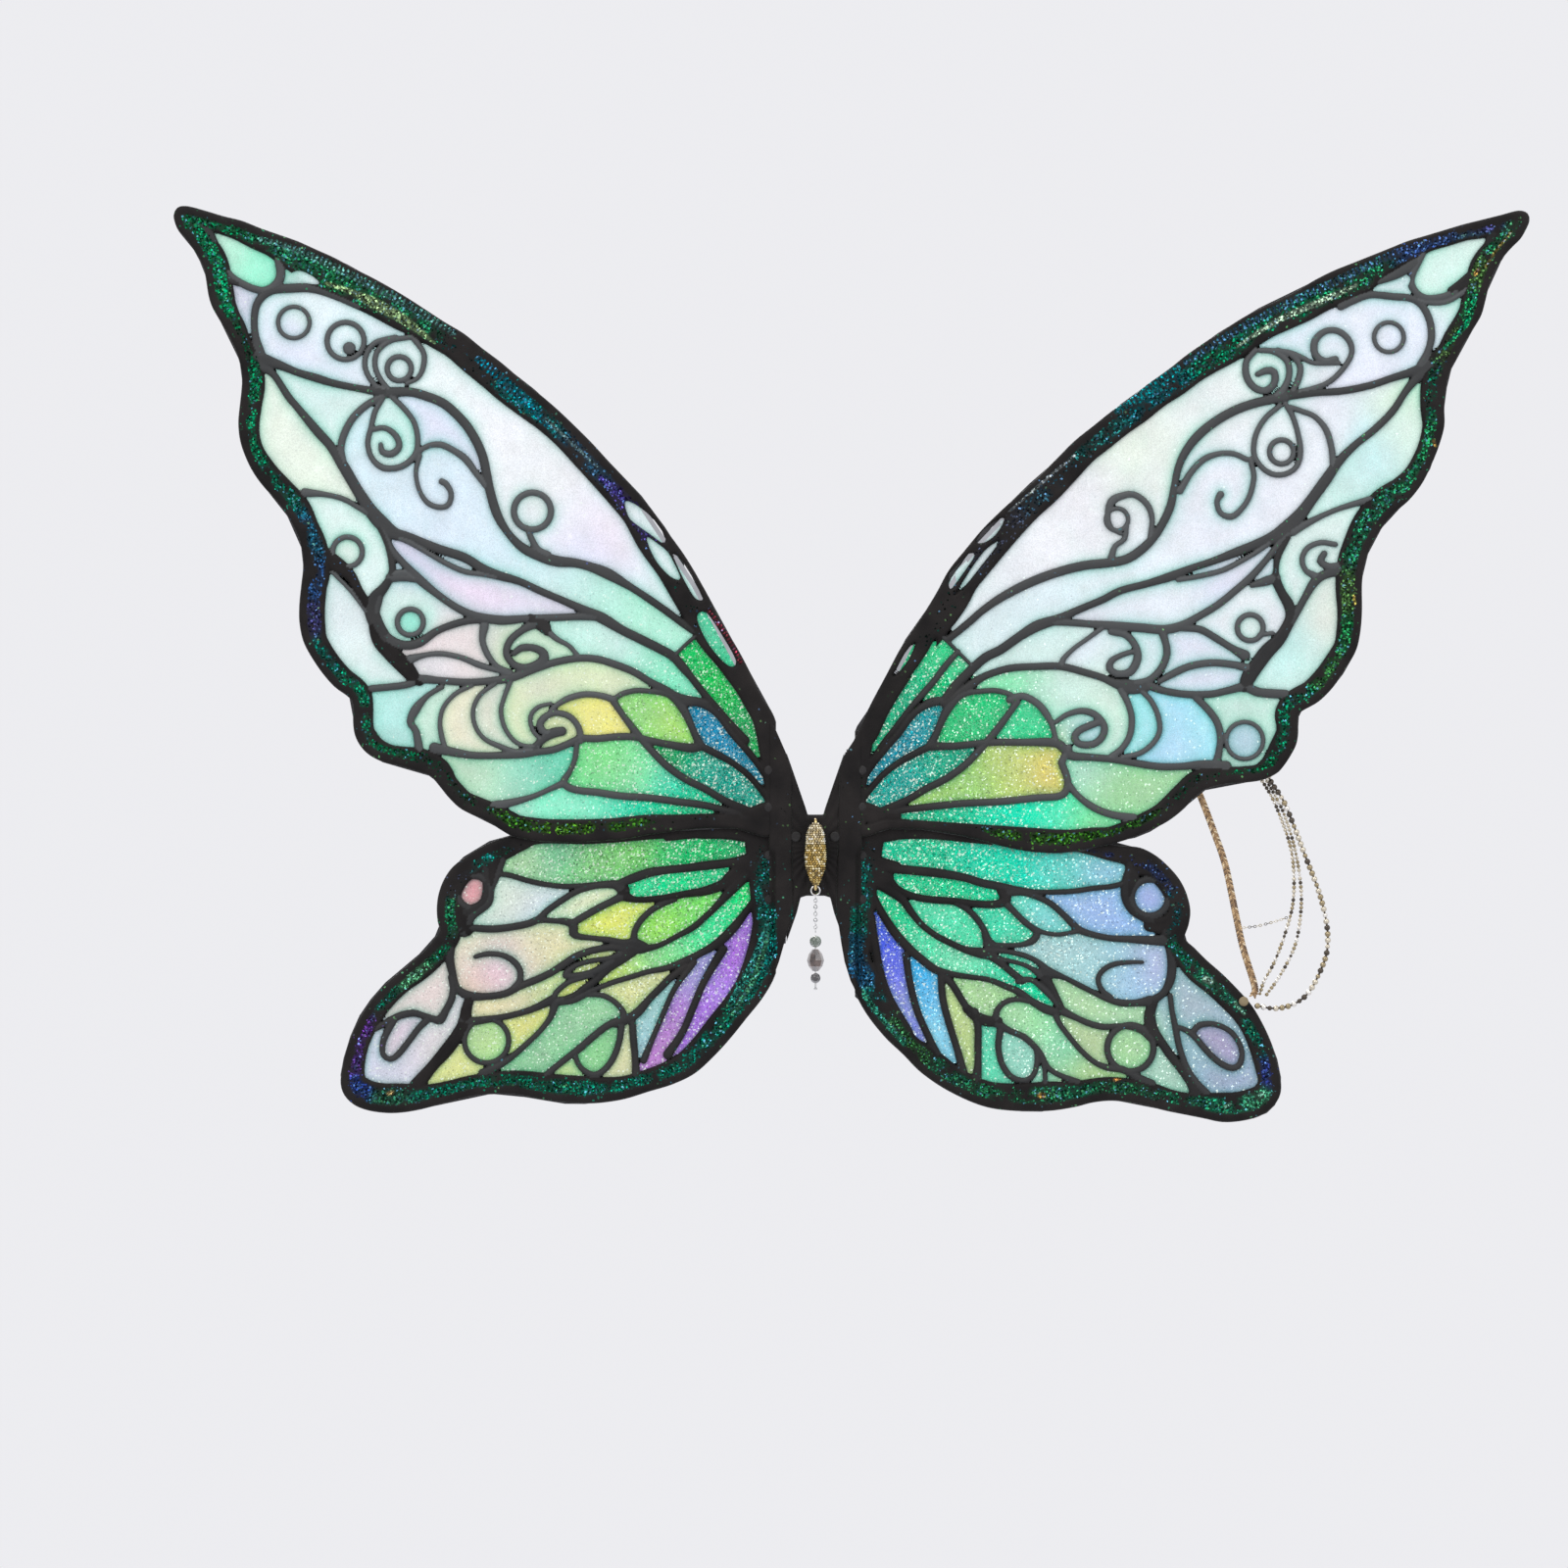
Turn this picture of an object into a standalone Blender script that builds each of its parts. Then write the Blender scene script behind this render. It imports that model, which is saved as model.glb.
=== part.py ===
"""Fairy wings: two pairs of film wings on a hinged root, worn on the back with two elastic straps.

Metres, +Z up. The decorated face looks towards -Y and the wearer stands on the +Y side.
The origin is the middle of the pad's flat rear face. Lengths below are in millimetres.
"""

import math

import bmesh
import bpy
import numpy as np
from mathutils import geometry

MM = 0.001
GAP = 0.3  # left between pieces that touch

PAD_BACK_Y = 17.7  # the pad's rear face, which becomes y = 0
FRAME_T = 1.4  # front vein frame
FILM_T = 0.4
WIRE_T = 0.8
BACKING_T = 1.0
FORE_Y = -3.0  # front of the fore wings' frame
HIND_Y = 1.1  # front of the hind wings' frame
ROOT_X = 21.3  # where each wing starts, outside the hinge barrel
FILM_ROOT_X = 30.0
SOLID_ROOT_X = 31.0  # the frame has no open cells inside this
WIRE_ROOT_X = 36.0
WIRE_IN, WIRE_W = 2.8, 2.4  # the edge wire's distance in from the outline, and its width
FILM_IN = WIRE_IN + WIRE_W + 1.0
BACKING_W = 10.0

HINGE_X, HINGE_Y = 18.5, -0.5
BARREL_R, BORE_R, PIN_R = 2.5, 1.1, 0.8
KNUCKLES = (-60.0, -45.0, -30.0, -15.0, 0.0, 15.0, 30.0, 44.0)  # even ones are fixed
LEAF_Y0, LEAF_Y1 = 5.2, 6.6
FORE_RIVETS = ((25.0, 14.0), (25.0, 34.0))
HIND_RIVETS = ((25.0, -12.0), (25.0, -36.0))
RIVET_R, RIVET_HOLE_R = 1.3, 1.6

SCREWS = ((-10.5, -2.0), (10.5, -2.0))
PLATE_Y0, PLATE_Y1 = 10.4, 13.4
STRAP_X0, STRAP_X1, STRAP_T = 26.0, 46.0, 1.5
STRAP_Y, STRAP_Z, STRAP_REAR_Y = 9.35, 52.0, 63.0
SLIDER_Y, SLIDER_L = 36.0, 8.0

BEAD_Y = -10.5
STAPLE_R, STAPLE_TOP, STAPLE_LOW = 0.8, 7.2, -30.2
DANGLE_Y = -8.2

# Each outline point is x, z and the width of the dark rim there.
FORE_LEFT = (
    (-20, 54, 12), (-30, 76, 11), (-40, 96, 14), (-50, 113, 17), (-60, 132, 18), (-75, 156, 18),
    (-92, 180, 16), (-111, 200, 15), (-130, 220, 14.5), (-152, 240, 16), (-180, 262, 16),
    (-200, 276, 15.5), (-220, 289, 18), (-240, 300.5, 19), (-260, 311, 20), (-280, 320, 16),
    (-300, 327, 12), (-320, 333.5, 10), (-340, 339, 9), (-346.5, 335, 9), (-344, 325, 11),
    (-336, 315, 12), (-330, 302, 12), (-328, 290, 11), (-322, 277, 11), (-314, 262, 11),
    (-310, 247, 11), (-312, 222, 11), (-308, 203, 12), (-299, 188, 13), (-286, 172, 14),
    (-278, 154, 15), (-277, 140, 14), (-279, 120, 14), (-277, 104, 13), (-267, 87, 13),
    (-252, 73, 14), (-250, 60, 13), (-246, 47, 13), (-236, 39, 12), (-218, 34, 12),
    (-206, 29, 10), (-193, 14, 11), (-177, 6, 11), (-163, -1, 11), (-140, -5, 12),
    (-110, -4, 10), (-75, 1, 7), (-45, 2.5, 7), (-20, 1.5, 9),
)
FORE_RIGHT = (
    (20, 1, 9), (40, 2, 7), (60, 1.5, 6), (85, -3, 8), (115, -10, 12), (145, -10, 12),
    (160, -5, 9), (175, -2, 10), (190, 6, 11), (204, 18, 12), (213, 24, 12), (232, 27, 9),
    (247, 31, 11), (257, 42, 13), (261, 55, 12), (263, 66, 13), (280, 79, 13), (292, 98, 12.5),
    (295, 115, 13), (296, 140, 14), (302, 158, 15), (312, 172, 15), (328, 189, 12),
    (337, 209, 11), (340, 230, 12), (344, 251, 12), (356, 273, 12), (363, 292, 13),
    (373, 313, 12), (385, 328, 9), (382, 336, 9), (360, 331, 10), (330, 323, 10),
    (300, 312, 14), (270, 299, 18), (240, 284, 17), (220, 272, 18), (190, 250, 15),
    (160, 228, 15), (130, 202, 16), (100, 174, 17), (80, 152, 18), (65, 128, 18),
    (50, 107, 17), (38, 85, 13), (28, 66, 11), (20, 49, 12),
)
HIND_LEFT = (
    (-20, 43, 24), (-27, 43, 24), (-30, 36, 20), (-34, 14, 12), (-50, 6, 9), (-80, 5, 8),
    (-120, 2, 8), (-150, 2, 8), (-166, -1, 9), (-180, -6, 11), (-193, -15, 11), (-201, -26, 12),
    (-205, -40, 16), (-204, -52, 15), (-214, -65, 15), (-231, -79, 12), (-247, -99, 12),
    (-256, -124, 13), (-256, -139, 14), (-245, -149, 15), (-229, -151.5, 16), (-200, -147, 13),
    (-178, -141.5, 12), (-158, -143, 13), (-130, -147, 15), (-100, -142.5, 12), (-70, -130, 14),
    (-42, -105, 14), (-22, -74, 15), (-15, -58, 16),
)
HIND_RIGHT = (
    (15, -70, 16), (27, -94, 13), (46, -117, 12), (70, -136, 13), (95, -148, 14),
    (122, -151, 16), (148, -146, 13), (165, -145, 12), (198, -152, 13), (225, -156, 16),
    (244, -152, 16), (252, -140, 14), (250, -122, 12), (241, -102, 12), (227, -85, 14),
    (211, -70, 15), (200, -56, 12), (202, -43, 13), (198, -27, 10), (186, -14, 12),
    (170, -6.5, 10), (150, -3, 10), (120, -1, 11), (80, 3, 11), (50, 5, 10), (34, 14, 12),
    (30, 36, 20), (27, 43, 24), (20, 43, 24),
)

# Each vein is a run of x, z and width.
FORE_LEFT_VEINS = (
    ((-232, 238, 7), (-210, 237, 5), (-190, 224, 5), (-180, 205, 5), (-176, 183, 5),
     (-166, 160, 5), (-148, 149, 6), (-122, 144, 5), (-100, 134, 4), (-72, 114, 4), (-62, 106, 4)),
    ((-232, 238, 7), (-250, 242, 4.5), (-275, 246, 4.5), (-292, 253, 5), (-304, 257, 8)),
    ((-300, 256, 6), (-304, 270, 4), (-303, 282, 4), (-297, 292, 5), (-275, 295, 5),
     (-256, 289, 5), (-243, 283, 5)),
    ((-330, 312, 5), (-320, 304, 4), (-308, 296, 4), (-296, 294, 5), (-289, 303, 5),
     (-291, 314, 5)),
    ((-303, 255, 6), (-287, 240, 4.5), (-270, 219, 5), (-255, 200, 6), (-248, 188, 6),
     (-235, 168, 8), (-218, 158, 5), (-190, 149, 5), (-172, 139, 5), (-148, 129, 4.5),
     (-124, 119, 5), (-105, 110, 5), (-85, 100, 5), (-75, 95, 5), (-65, 80, 5)),
    ((-234, 236, 4), (-251, 223, 4), (-257, 207, 4), (-252, 193, 4), (-240, 176, 4)),
    ((-235, 168, 6), (-228, 152, 4), (-214, 137, 5), (-195, 123, 4.5), (-178, 116, 5),
     (-155, 116, 4), (-128, 117, 4), (-116, 116, 5)),
    ((-276, 183, 5), (-255, 180, 4), (-240, 172, 5)),
    ((-233, 165, 4), (-229, 147, 4), (-232, 133, 5), (-240, 121, 8), (-234, 103, 8),
     (-222, 90, 9), (-214, 82, 6)),
    ((-266, 150, 10), (-251, 137, 6), (-241, 122, 6)),
    ((-232, 104, 7), (-214, 103, 5), (-195, 113, 4.5), (-178, 115, 5)),
    ((-178, 114, 6), (-180, 104, 4), (-175, 92, 4), (-163, 86, 4)),
    ((-240, 79, 5), (-222, 81, 5), (-204, 82, 4), (-178, 82, 4), (-160, 86, 5),
     (-140, 93, 4), (-118, 94, 4), (-98, 88, 4), (-82, 78, 5), (-70, 72, 6), (-58, 70, 5)),
    ((-150, 115, 7), (-165, 104, 4.5), (-166, 94, 4.5), (-156, 89, 5), (-146, 90, 5)),
    ((-210, 46, 7), (-185, 42, 4.5), (-158, 43, 5), (-134, 48, 4.5), (-108, 52, 4.5),
     (-90, 50, 4.5), (-62, 47, 5), (-45, 38, 7), (-20, 14, 12)),
    ((-143, 67, 3.5), (-133, 73, 3.5), (-122, 75, 4), (-109, 71, 4), (-99, 57, 4),
     (-80, 36, 4), (-60, 24, 4), (-34, 10, 7)),
    ((-109, 72, 4), (-97, 77, 4), (-80, 75, 5), (-69, 62, 4), (-62, 47, 5)),
    ((-129, 49, 4), (-133, 33, 4), (-134, 25, 4), (-105, 20, 4.5), (-60, 15, 4.5),
     (-30, 8, 8)),
    ((-134, 27, 4), (-152, 20, 4), (-174, 15, 6)),
    ((-202, 79, 4), (-216, 67, 5), (-216, 52, 5), (-212, 44, 6)),
)
FORE_RIGHT_VEINS = (
    ((254, 237, 7), (228, 229, 5), (207, 215, 5), (196, 197, 4.5), (192, 177, 4.5),
     (176, 153, 5), (158, 146, 5), (138, 143, 5), (113, 134, 5), (90, 120, 4.5), (72, 104, 5)),
    ((254, 237, 7), (285, 239, 4.5), (312, 246, 4.5), (334, 252, 8)),
    ((284, 285, 5), (300, 290, 4.5), (322, 289, 4.5), (332, 277, 4.5), (332, 262, 4.5),
     (328, 254, 6)),
    ((328, 313, 5), (321, 302, 4), (325, 292, 4.5), (340, 288, 5), (356, 297, 5)),
    ((330, 251, 6), (312, 228, 4.5), (292, 210, 4.5), (276, 191, 6), (262, 172, 7),
     (248, 160, 7), (228, 152, 5), (203, 143, 5), (180, 135, 4.5), (155, 126, 4.5),
     (132, 116, 5), (110, 106, 5), (86, 90, 5), (66, 80, 5)),
    ((255, 230, 4), (270, 228, 4), (279, 214, 4), (280, 200, 5)),
    ((255, 162, 5), (244, 148, 4), (227, 131, 4.5), (207, 117, 4.5), (188, 110, 5),
     (160, 112, 5), (135, 114, 4), (124, 113, 5)),
    ((302, 181, 5), (280, 174, 4), (258, 163, 5)),
    ((252, 158, 4), (249, 143, 4), (255, 124, 6), (253, 108, 7), (240, 92, 8), (232, 79, 6)),
    ((288, 143, 6), (270, 136, 5), (258, 115, 5)),
    ((192, 110, 5), (208, 110, 4.5), (225, 100, 5), (234, 94, 7)),
    ((180, 80, 5), (200, 75, 4.5), (223, 77, 4.5), (240, 76, 5), (254, 74, 6)),
    ((186, 110, 5), (190, 97, 4.5), (181, 83, 4.5), (165, 80, 5)),
    ((76, 77, 4), (92, 85, 4.5), (120, 90, 4.5), (145, 87, 4.5), (162, 81, 6), (180, 79, 6)),
    ((158, 110, 6), (173, 101, 4.5), (172, 89, 4.5), (160, 87, 4.5)),
    ((165, 79, 5), (171, 62, 4), (166, 46, 4), (158, 42, 4)),
    ((205, 74, 5), (217, 60, 4.5), (218, 43, 5), (216, 36, 6)),
    ((20, 14, 12), (45, 36, 7), (62, 47, 5), (90, 49, 4.5), (120, 49, 4.5), (140, 43, 5),
     (172, 38, 4.5), (198, 36, 5), (222, 36, 6)),
    ((133, 60, 4), (126, 64, 4), (112, 74, 4), (98, 71, 4), (88, 58, 4), (74, 38, 4),
     (55, 24, 4.5), (34, 11, 7)),
    ((98, 72, 4), (82, 74, 5), (69, 62, 4.5), (62, 47, 5)),
    ((128, 47, 5), (136, 32, 4.5), (133, 20, 4.5), (100, 17, 4.5), (60, 13, 4.5), (30, 7, 8)),
    ((136, 26, 4), (150, 14, 4), (172, 8, 5)),
)
HIND_LEFT_VEINS = (
    ((-176, -21, 5), (-145, -27, 4), (-106, -27, 5), (-82, -20, 5), (-48, -14, 6),
     (-20, -8, 12)),
    ((-106, -28, 5), (-98, -34, 6), (-70, -33, 5), (-45, -25, 8), (-20, -12, 12)),
    ((-102, -36, 5), (-120, -44, 4), (-135, -47, 4.5), (-160, -51, 4), (-194, -54, 5)),
    ((-110, -30, 4), (-130, -34, 4), (-147, -45, 4)),
    ((-134, -48, 4.5), (-128, -55, 4), (-105, -59, 5), (-92, -62, 6), (-70, -51, 4.5),
     (-53, -36, 5), (-40, -24, 6)),
    ((-86, -37, 4), (-98, -49, 4), (-97, -60, 6)),
    ((-92, -62, 6), (-108, -67, 5), (-124, -77, 4), (-140, -89, 4.5), (-165, -99, 4),
     (-192, -104, 5)),
    ((-104, -62, 5), (-124, -64, 4), (-136, -74, 4.5), (-160, -82, 4.5), (-182, -88, 4.5),
     (-196, -76, 5), (-196, -60, 6)),
    ((-138, -88, 4), (-115, -81, 4), (-86, -74, 4), (-64, -63, 4.5), (-46, -50, 6),
     (-26, -22, 8)),
    ((-125, -88, 4), (-110, -89, 4), (-104, -98, 4), (-94, -97, 5), (-84, -83, 4.5),
     (-72, -69, 5)),
    ((-97, -99, 5), (-115, -104, 4), (-132, -118, 4), (-148, -131, 4)),
    ((-98, -100, 4), (-98, -118, 4), (-97, -133, 5)),
    ((-92, -124, 5), (-82, -97, 4), (-70, -70, 4.5)),
    ((-78, -117, 5), (-66, -92, 4), (-50, -58, 5)),
    ((-138, -92, 4), (-138, -103, 4), (-157, -118, 4), (-180, -130, 5)),
    ((-188, -88, 5), (-190, -102, 6), (-199, -114, 6), (-214, -134, 7)),
    ((-198, -80, 4), (-199, -93, 4), (-206, -102, 4), (-226, -101, 4), (-238, -105, 4)),
    ((-175, -20, 5), (-177, -33, 5), (-190, -43, 6)),
)
HIND_RIGHT_VEINS = (
    ((20, -10, 10), (50, -20, 5), (85, -27, 5), (115, -32, 4.5), (145, -31, 4), (172, -27, 5)),
    ((20, -14, 12), (45, -32, 6), (80, -38, 4.5), (102, -37, 5), (104, -31, 5)),
    ((103, -36, 4), (118, -51, 4), (110, -60, 4), (92, -62, 6)),
    ((106, -33, 4), (128, -40, 4), (141, -51, 4.5), (160, -57, 4), (193, -60, 6)),
    ((110, -43, 4), (125, -53, 4), (143, -53, 4)),
    ((82, -39, 4), (92, -52, 4), (93, -64, 6)),
    ((30, -24, 8), (57, -46, 5), (78, -62, 4.5), (100, -66, 5), (124, -75, 5), (145, -83, 4.5),
     (172, -92, 5), (190, -84, 5)),
    ((97, -68, 5), (110, -80, 4), (118, -92, 4.5), (134, -96, 5), (126, -76, 5)),
    ((134, -96, 4), (160, -105, 4), (183, -105, 5)),
    ((26, -22, 8), (42, -50, 6), (62, -70, 5), (98, -80, 4.5), (121, -93, 4.5),
     (136, -109, 4), (162, -129, 4), (172, -136, 4)),
    ((66, -75, 5), (85, -98, 5), (96, -102, 6), (112, -108, 4.5), (124, -122, 4.5),
     (138, -136, 4)),
    ((97, -102, 6), (104, -92, 4.5), (121, -92, 5)),
    ((87, -100, 6), (88, -118, 4.5), (86, -134, 6)),
    ((66, -75, 5), (72, -100, 5), (82, -130, 6)),
    ((44, -56, 5), (51, -82, 4.5), (63, -118, 6)),
    ((98, -104, 4.5), (98, -118, 4.5), (106, -136, 4.5)),
    ((192, -64, 6), (194, -100, 4.5), (198, -122, 4.5), (210, -142, 5)),
    ((183, -90, 5), (183, -106, 5), (203, -138, 5)),
    ((195, -104, 4), (209, -112, 4), (222, -126, 4), (231, -121, 4), (224, -107, 4),
     (206, -105, 4)),
    ((168, -27, 5), (174, -42, 5), (192, -52, 8)),
)

# The windows that are cut through the rim, as x, z points round each.
FORE_LEFT_WINDOWS = (
    ((-102, 178), (-97, 177), (-87, 169), (-81, 159), (-85, 158), (-98, 168)),
    ((-90, 159), (-80, 152), (-73, 138), (-80, 140), (-88, 150)),
    ((-72, 146), (-67, 139), (-61, 126), (-67, 130)),
    ((-63, 117), (-57, 116), (-43, 93), (-47, 90), (-56, 99)),
)
FORE_RIGHT_WINDOWS = (
    ((102, 169), (96, 166), (88, 156), (90, 155), (98, 161)),
    ((108, 167), (99, 156), (86, 143), (80, 134), (75, 134), (84, 148), (96, 160)),
    ((57, 114), (64, 106), (62, 97), (50, 84), (44, 87), (50, 101)),
)

BLACK = (0.035, 0.03, 0.032, 1.0)


def clear_scene():
    for obj in list(bpy.data.objects):
        bpy.data.objects.remove(obj, do_unlink=True)


def material(name, color, rough=0.5, metal=0.0, **more):
    mat = bpy.data.materials.new(name)
    mat.use_nodes = True
    shader = mat.node_tree.nodes["Principled BSDF"]
    shader.inputs["Base Color"].default_value = color
    shader.inputs["Roughness"].default_value = rough
    shader.inputs["Metallic"].default_value = metal
    for key, value in more.items():
        shader.inputs[key.replace("_", " ")].default_value = value
    mat.diffuse_color = color
    return mat


# ---- flat shapes, as fields that are positive inside ----


def smooth_run(points, step, closed):
    """A Catmull-Rom run through the points, with every column carried along."""
    pts = np.array(points, float)
    n = len(pts)
    out = []
    for i in range(n if closed else n - 1):
        if closed:
            p0, p1, p2, p3 = pts[i - 1], pts[i], pts[(i + 1) % n], pts[(i + 2) % n]
        else:
            p1, p2 = pts[i], pts[i + 1]
            p0 = pts[i - 1] if i else 2 * p1 - p2
            p3 = pts[i + 2] if i + 2 < n else 2 * p2 - p1
        count = max(2, int(math.ceil(np.hypot(*(p2 - p1)[:2]) / step)))
        for k in range(count):
            t = k / count
            out.append(
                0.5
                * (
                    2 * p1
                    + (p2 - p0) * t
                    + (2 * p0 - 5 * p1 + 4 * p2 - p3) * t * t
                    + (3 * p1 - p0 - 3 * p2 + p3) * t**3
                )
            )
    if not closed:
        out.append(pts[-1])
    return np.array(out)


class Grid:
    """A square grid over an outline, and the fields drawn on it."""

    def __init__(self, outline, step=1.0):
        low = outline[:, :2].min(axis=0) - 3.37
        high = outline[:, :2].max(axis=0) + 3.37
        self.xs = np.arange(low[0], high[0], step)
        self.zs = np.arange(low[1], high[1], step)
        self.x, self.z = np.meshgrid(self.xs, self.zs, indexing="ij")

    def stroke(self, run, closed=False, reach=30.0):
        """Half width minus distance, from the nearest part of a run of x, z, width."""
        field = np.full(self.x.shape, -reach)
        ends = np.roll(run, -1, axis=0) if closed else run[1:]
        for a, b in zip(run, ends):
            lo = np.minimum(a[:2], b[:2]) - reach
            hi = np.maximum(a[:2], b[:2]) + reach
            i0, i1 = np.searchsorted(self.xs, (lo[0], hi[0]))
            j0, j1 = np.searchsorted(self.zs, (lo[1], hi[1]))
            x, z = self.x[i0:i1, j0:j1], self.z[i0:i1, j0:j1]
            d = b[:2] - a[:2]
            t = ((x - a[0]) * d[0] + (z - a[1]) * d[1]) / max(d @ d, 1e-9)
            t = np.clip(t, 0, 1)
            gone = np.hypot(x - a[0] - t * d[0], z - a[1] - t * d[1])
            here = (a[2] + t * (b[2] - a[2])) / 2 - gone
            np.maximum(field[i0:i1, j0:j1], here, out=field[i0:i1, j0:j1])
        return field

    def inside(self, loop):
        """Signed distance to a closed loop, positive inside."""
        run = np.column_stack([loop[:, :2], np.zeros(len(loop))])
        far = -self.stroke(run, closed=True)
        odd = np.zeros(self.x.shape, bool)
        for (ax, az), (bx, bz) in zip(loop[:, :2], np.roll(loop[:, :2], -1, axis=0)):
            if az == bz:
                continue
            cross = (az > self.z) != (bz > self.z)
            at = ax + (self.z - az) * (bx - ax) / (bz - az)
            odd ^= cross & (self.x < at)
        return np.where(odd, far, -far)

    def loops(self, field, tolerance, least_area):
        """The outlines of where the field is positive, thinned to the tolerance."""
        inside = field > 0
        nx, nz = field.shape
        links = {}

        def key_point(i, j, side):
            # Points sit on grid edges: side 0 runs along x, side 1 along z.
            if side == 0:
                a, b = field[i, j], field[i + 1, j]
                return (self.xs[i] + (self.xs[i + 1] - self.xs[i]) * a / (a - b), self.zs[j])
            a, b = field[i, j], field[i, j + 1]
            return (self.xs[i], self.zs[j] + (self.zs[j + 1] - self.zs[j]) * a / (a - b))

        code = (
            inside[:-1, :-1] * 1 + inside[1:, :-1] * 2 + inside[1:, 1:] * 4 + inside[:-1, 1:] * 8
        )
        south, east, north, west = 0, 1, 2, 3
        turns = {
            1: ((west, south),), 2: ((south, east),), 3: ((west, east),), 4: ((east, north),),
            5: ((west, south), (east, north)), 6: ((south, north),), 7: ((west, north),),
            8: ((north, west),), 9: ((north, south),), 10: ((south, east), (north, west)),
            11: ((north, east),), 12: ((east, west),), 13: ((east, south),), 14: ((south, west),),
        }
        for i, j in np.argwhere((code > 0) & (code < 15)):
            sides = {south: (i, j, 0), north: (i, j + 1, 0), west: (i, j, 1), east: (i + 1, j, 1)}
            for a, b in turns[int(code[i, j])]:
                links[tuple(map(int, sides[a]))] = tuple(map(int, sides[b]))
        found = []
        while links:
            start = next(iter(links))
            run, at = [], start
            while at in links:
                run.append(key_point(*at))
                at = links.pop(at)
            loop = thin_loop(np.array(run), tolerance)
            if len(loop) >= 3 and abs(area_of(loop)) >= least_area:
                found.append(loop)
        return found


def area_of(loop):
    nxt = np.roll(loop, -1, axis=0)
    return 0.5 * float(np.sum(loop[:, 0] * nxt[:, 1] - nxt[:, 0] * loop[:, 1]))


def thin_run(run, tolerance):
    keep = np.zeros(len(run), bool)
    keep[[0, -1]] = True
    spans = [(0, len(run) - 1)]
    while spans:
        a, b = spans.pop()
        if b - a < 2:
            continue
        d = run[b] - run[a]
        rel = run[a + 1 : b] - run[a]
        size = math.hypot(*d)
        if size < 1e-9:
            off = np.hypot(rel[:, 0], rel[:, 1])
        else:
            off = np.abs(rel[:, 0] * d[1] - rel[:, 1] * d[0]) / size
        k = int(off.argmax())
        if off[k] > tolerance:
            keep[a + 1 + k] = True
            spans += [(a, a + 1 + k), (a + 1 + k, b)]
    return run[keep]


def thin_loop(loop, tolerance):
    far = int(np.hypot(*(loop - loop[0]).T).argmax())
    first = thin_run(loop[: far + 1], tolerance)
    second = thin_run(np.vstack([loop[far:], loop[:1]]), tolerance)
    return np.vstack([first[:-1], second[:-1]])


# ---- solids ----


def to_part(points):
    out = np.array(points, float)
    out[:, 1] -= PAD_BACK_Y
    return out * MM


def add_mesh(name, points, faces, mat, smooth=False, origin=(0.0, 0.0, 0.0)):
    """A mesh object from millimetre points. Its origin goes at `origin`, in the same frame."""
    at = to_part([origin])[0] if any(origin) else np.zeros(3)
    mesh = bpy.data.meshes.new(name)
    mesh.from_pydata([tuple(p) for p in to_part(points) - at], [], faces)
    mesh.update()
    obj = bpy.data.objects.new(name, mesh)
    obj.location = at
    bpy.context.collection.objects.link(obj)
    mesh.materials.append(mat)
    for poly in mesh.polygons:
        poly.use_smooth = smooth
    return obj


def triangulate(loops):
    """Triangles, counter-clockwise, of the area between closed loops."""
    points, edges = [], []
    for loop in loops:
        base = len(points)
        points += [tuple(map(float, p)) for p in loop]
        edges += [(base + k, base + (k + 1) % len(loop)) for k in range(len(loop))]
    made = geometry.delaunay_2d_cdt(points, edges, [], 0, 1e-7)
    verts = np.array([tuple(v) for v in made[0]])
    tris = np.array([tuple(t) for t in made[2]])
    mid = verts[tris].mean(axis=1)
    odd = np.zeros(len(tris), bool)
    for loop in loops:
        for (ax, az), (bx, bz) in zip(loop, np.roll(loop, -1, axis=0)):
            if az != bz:
                cross = (az > mid[:, 1]) != (bz > mid[:, 1])
                odd ^= cross & (mid[:, 0] < ax + (mid[:, 1] - az) * (bx - ax) / (bz - az))
    tris = tris[odd]
    a, b, c = verts[tris[:, 0]], verts[tris[:, 1]], verts[tris[:, 2]]
    turn = (b - a)[:, 0] * (c - a)[:, 1] - (b - a)[:, 1] * (c - a)[:, 0]
    tris[turn < 0] = tris[turn < 0][:, ::-1]
    used = np.unique(tris)
    index = np.full(len(verts), -1)
    index[used] = np.arange(len(used))
    return verts[used], index[tris]


def prism(name, loops, low, high, mat, axis="y", origin=(0.0, 0.0, 0.0)):
    """Loops of two coordinates, pushed from low to high along the third axis."""
    verts, tris = triangulate([np.array(loop, float) for loop in loops])
    n = len(verts)
    if axis == "y":
        near = [(x, low, z) for x, z in verts]
        far = [(x, high, z) for x, z in verts]
    else:  # along x, from loops of y, z; seen from -x they turn the other way
        near = [(high, y, z) for y, z in verts]
        far = [(low, y, z) for y, z in verts]
    faces = [tuple(map(int, t)) for t in tris]
    faces += [tuple(int(v) + n for v in t[::-1]) for t in tris]
    ends = {}
    for t in tris:
        for a, b in ((t[0], t[1]), (t[1], t[2]), (t[2], t[0])):
            ends[(int(a), int(b))] = True
    for a, b in ends:
        if (b, a) not in ends:
            faces.append((b, a, a + n, b + n))
    return add_mesh(name, near + far, faces, mat, origin=origin)


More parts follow.
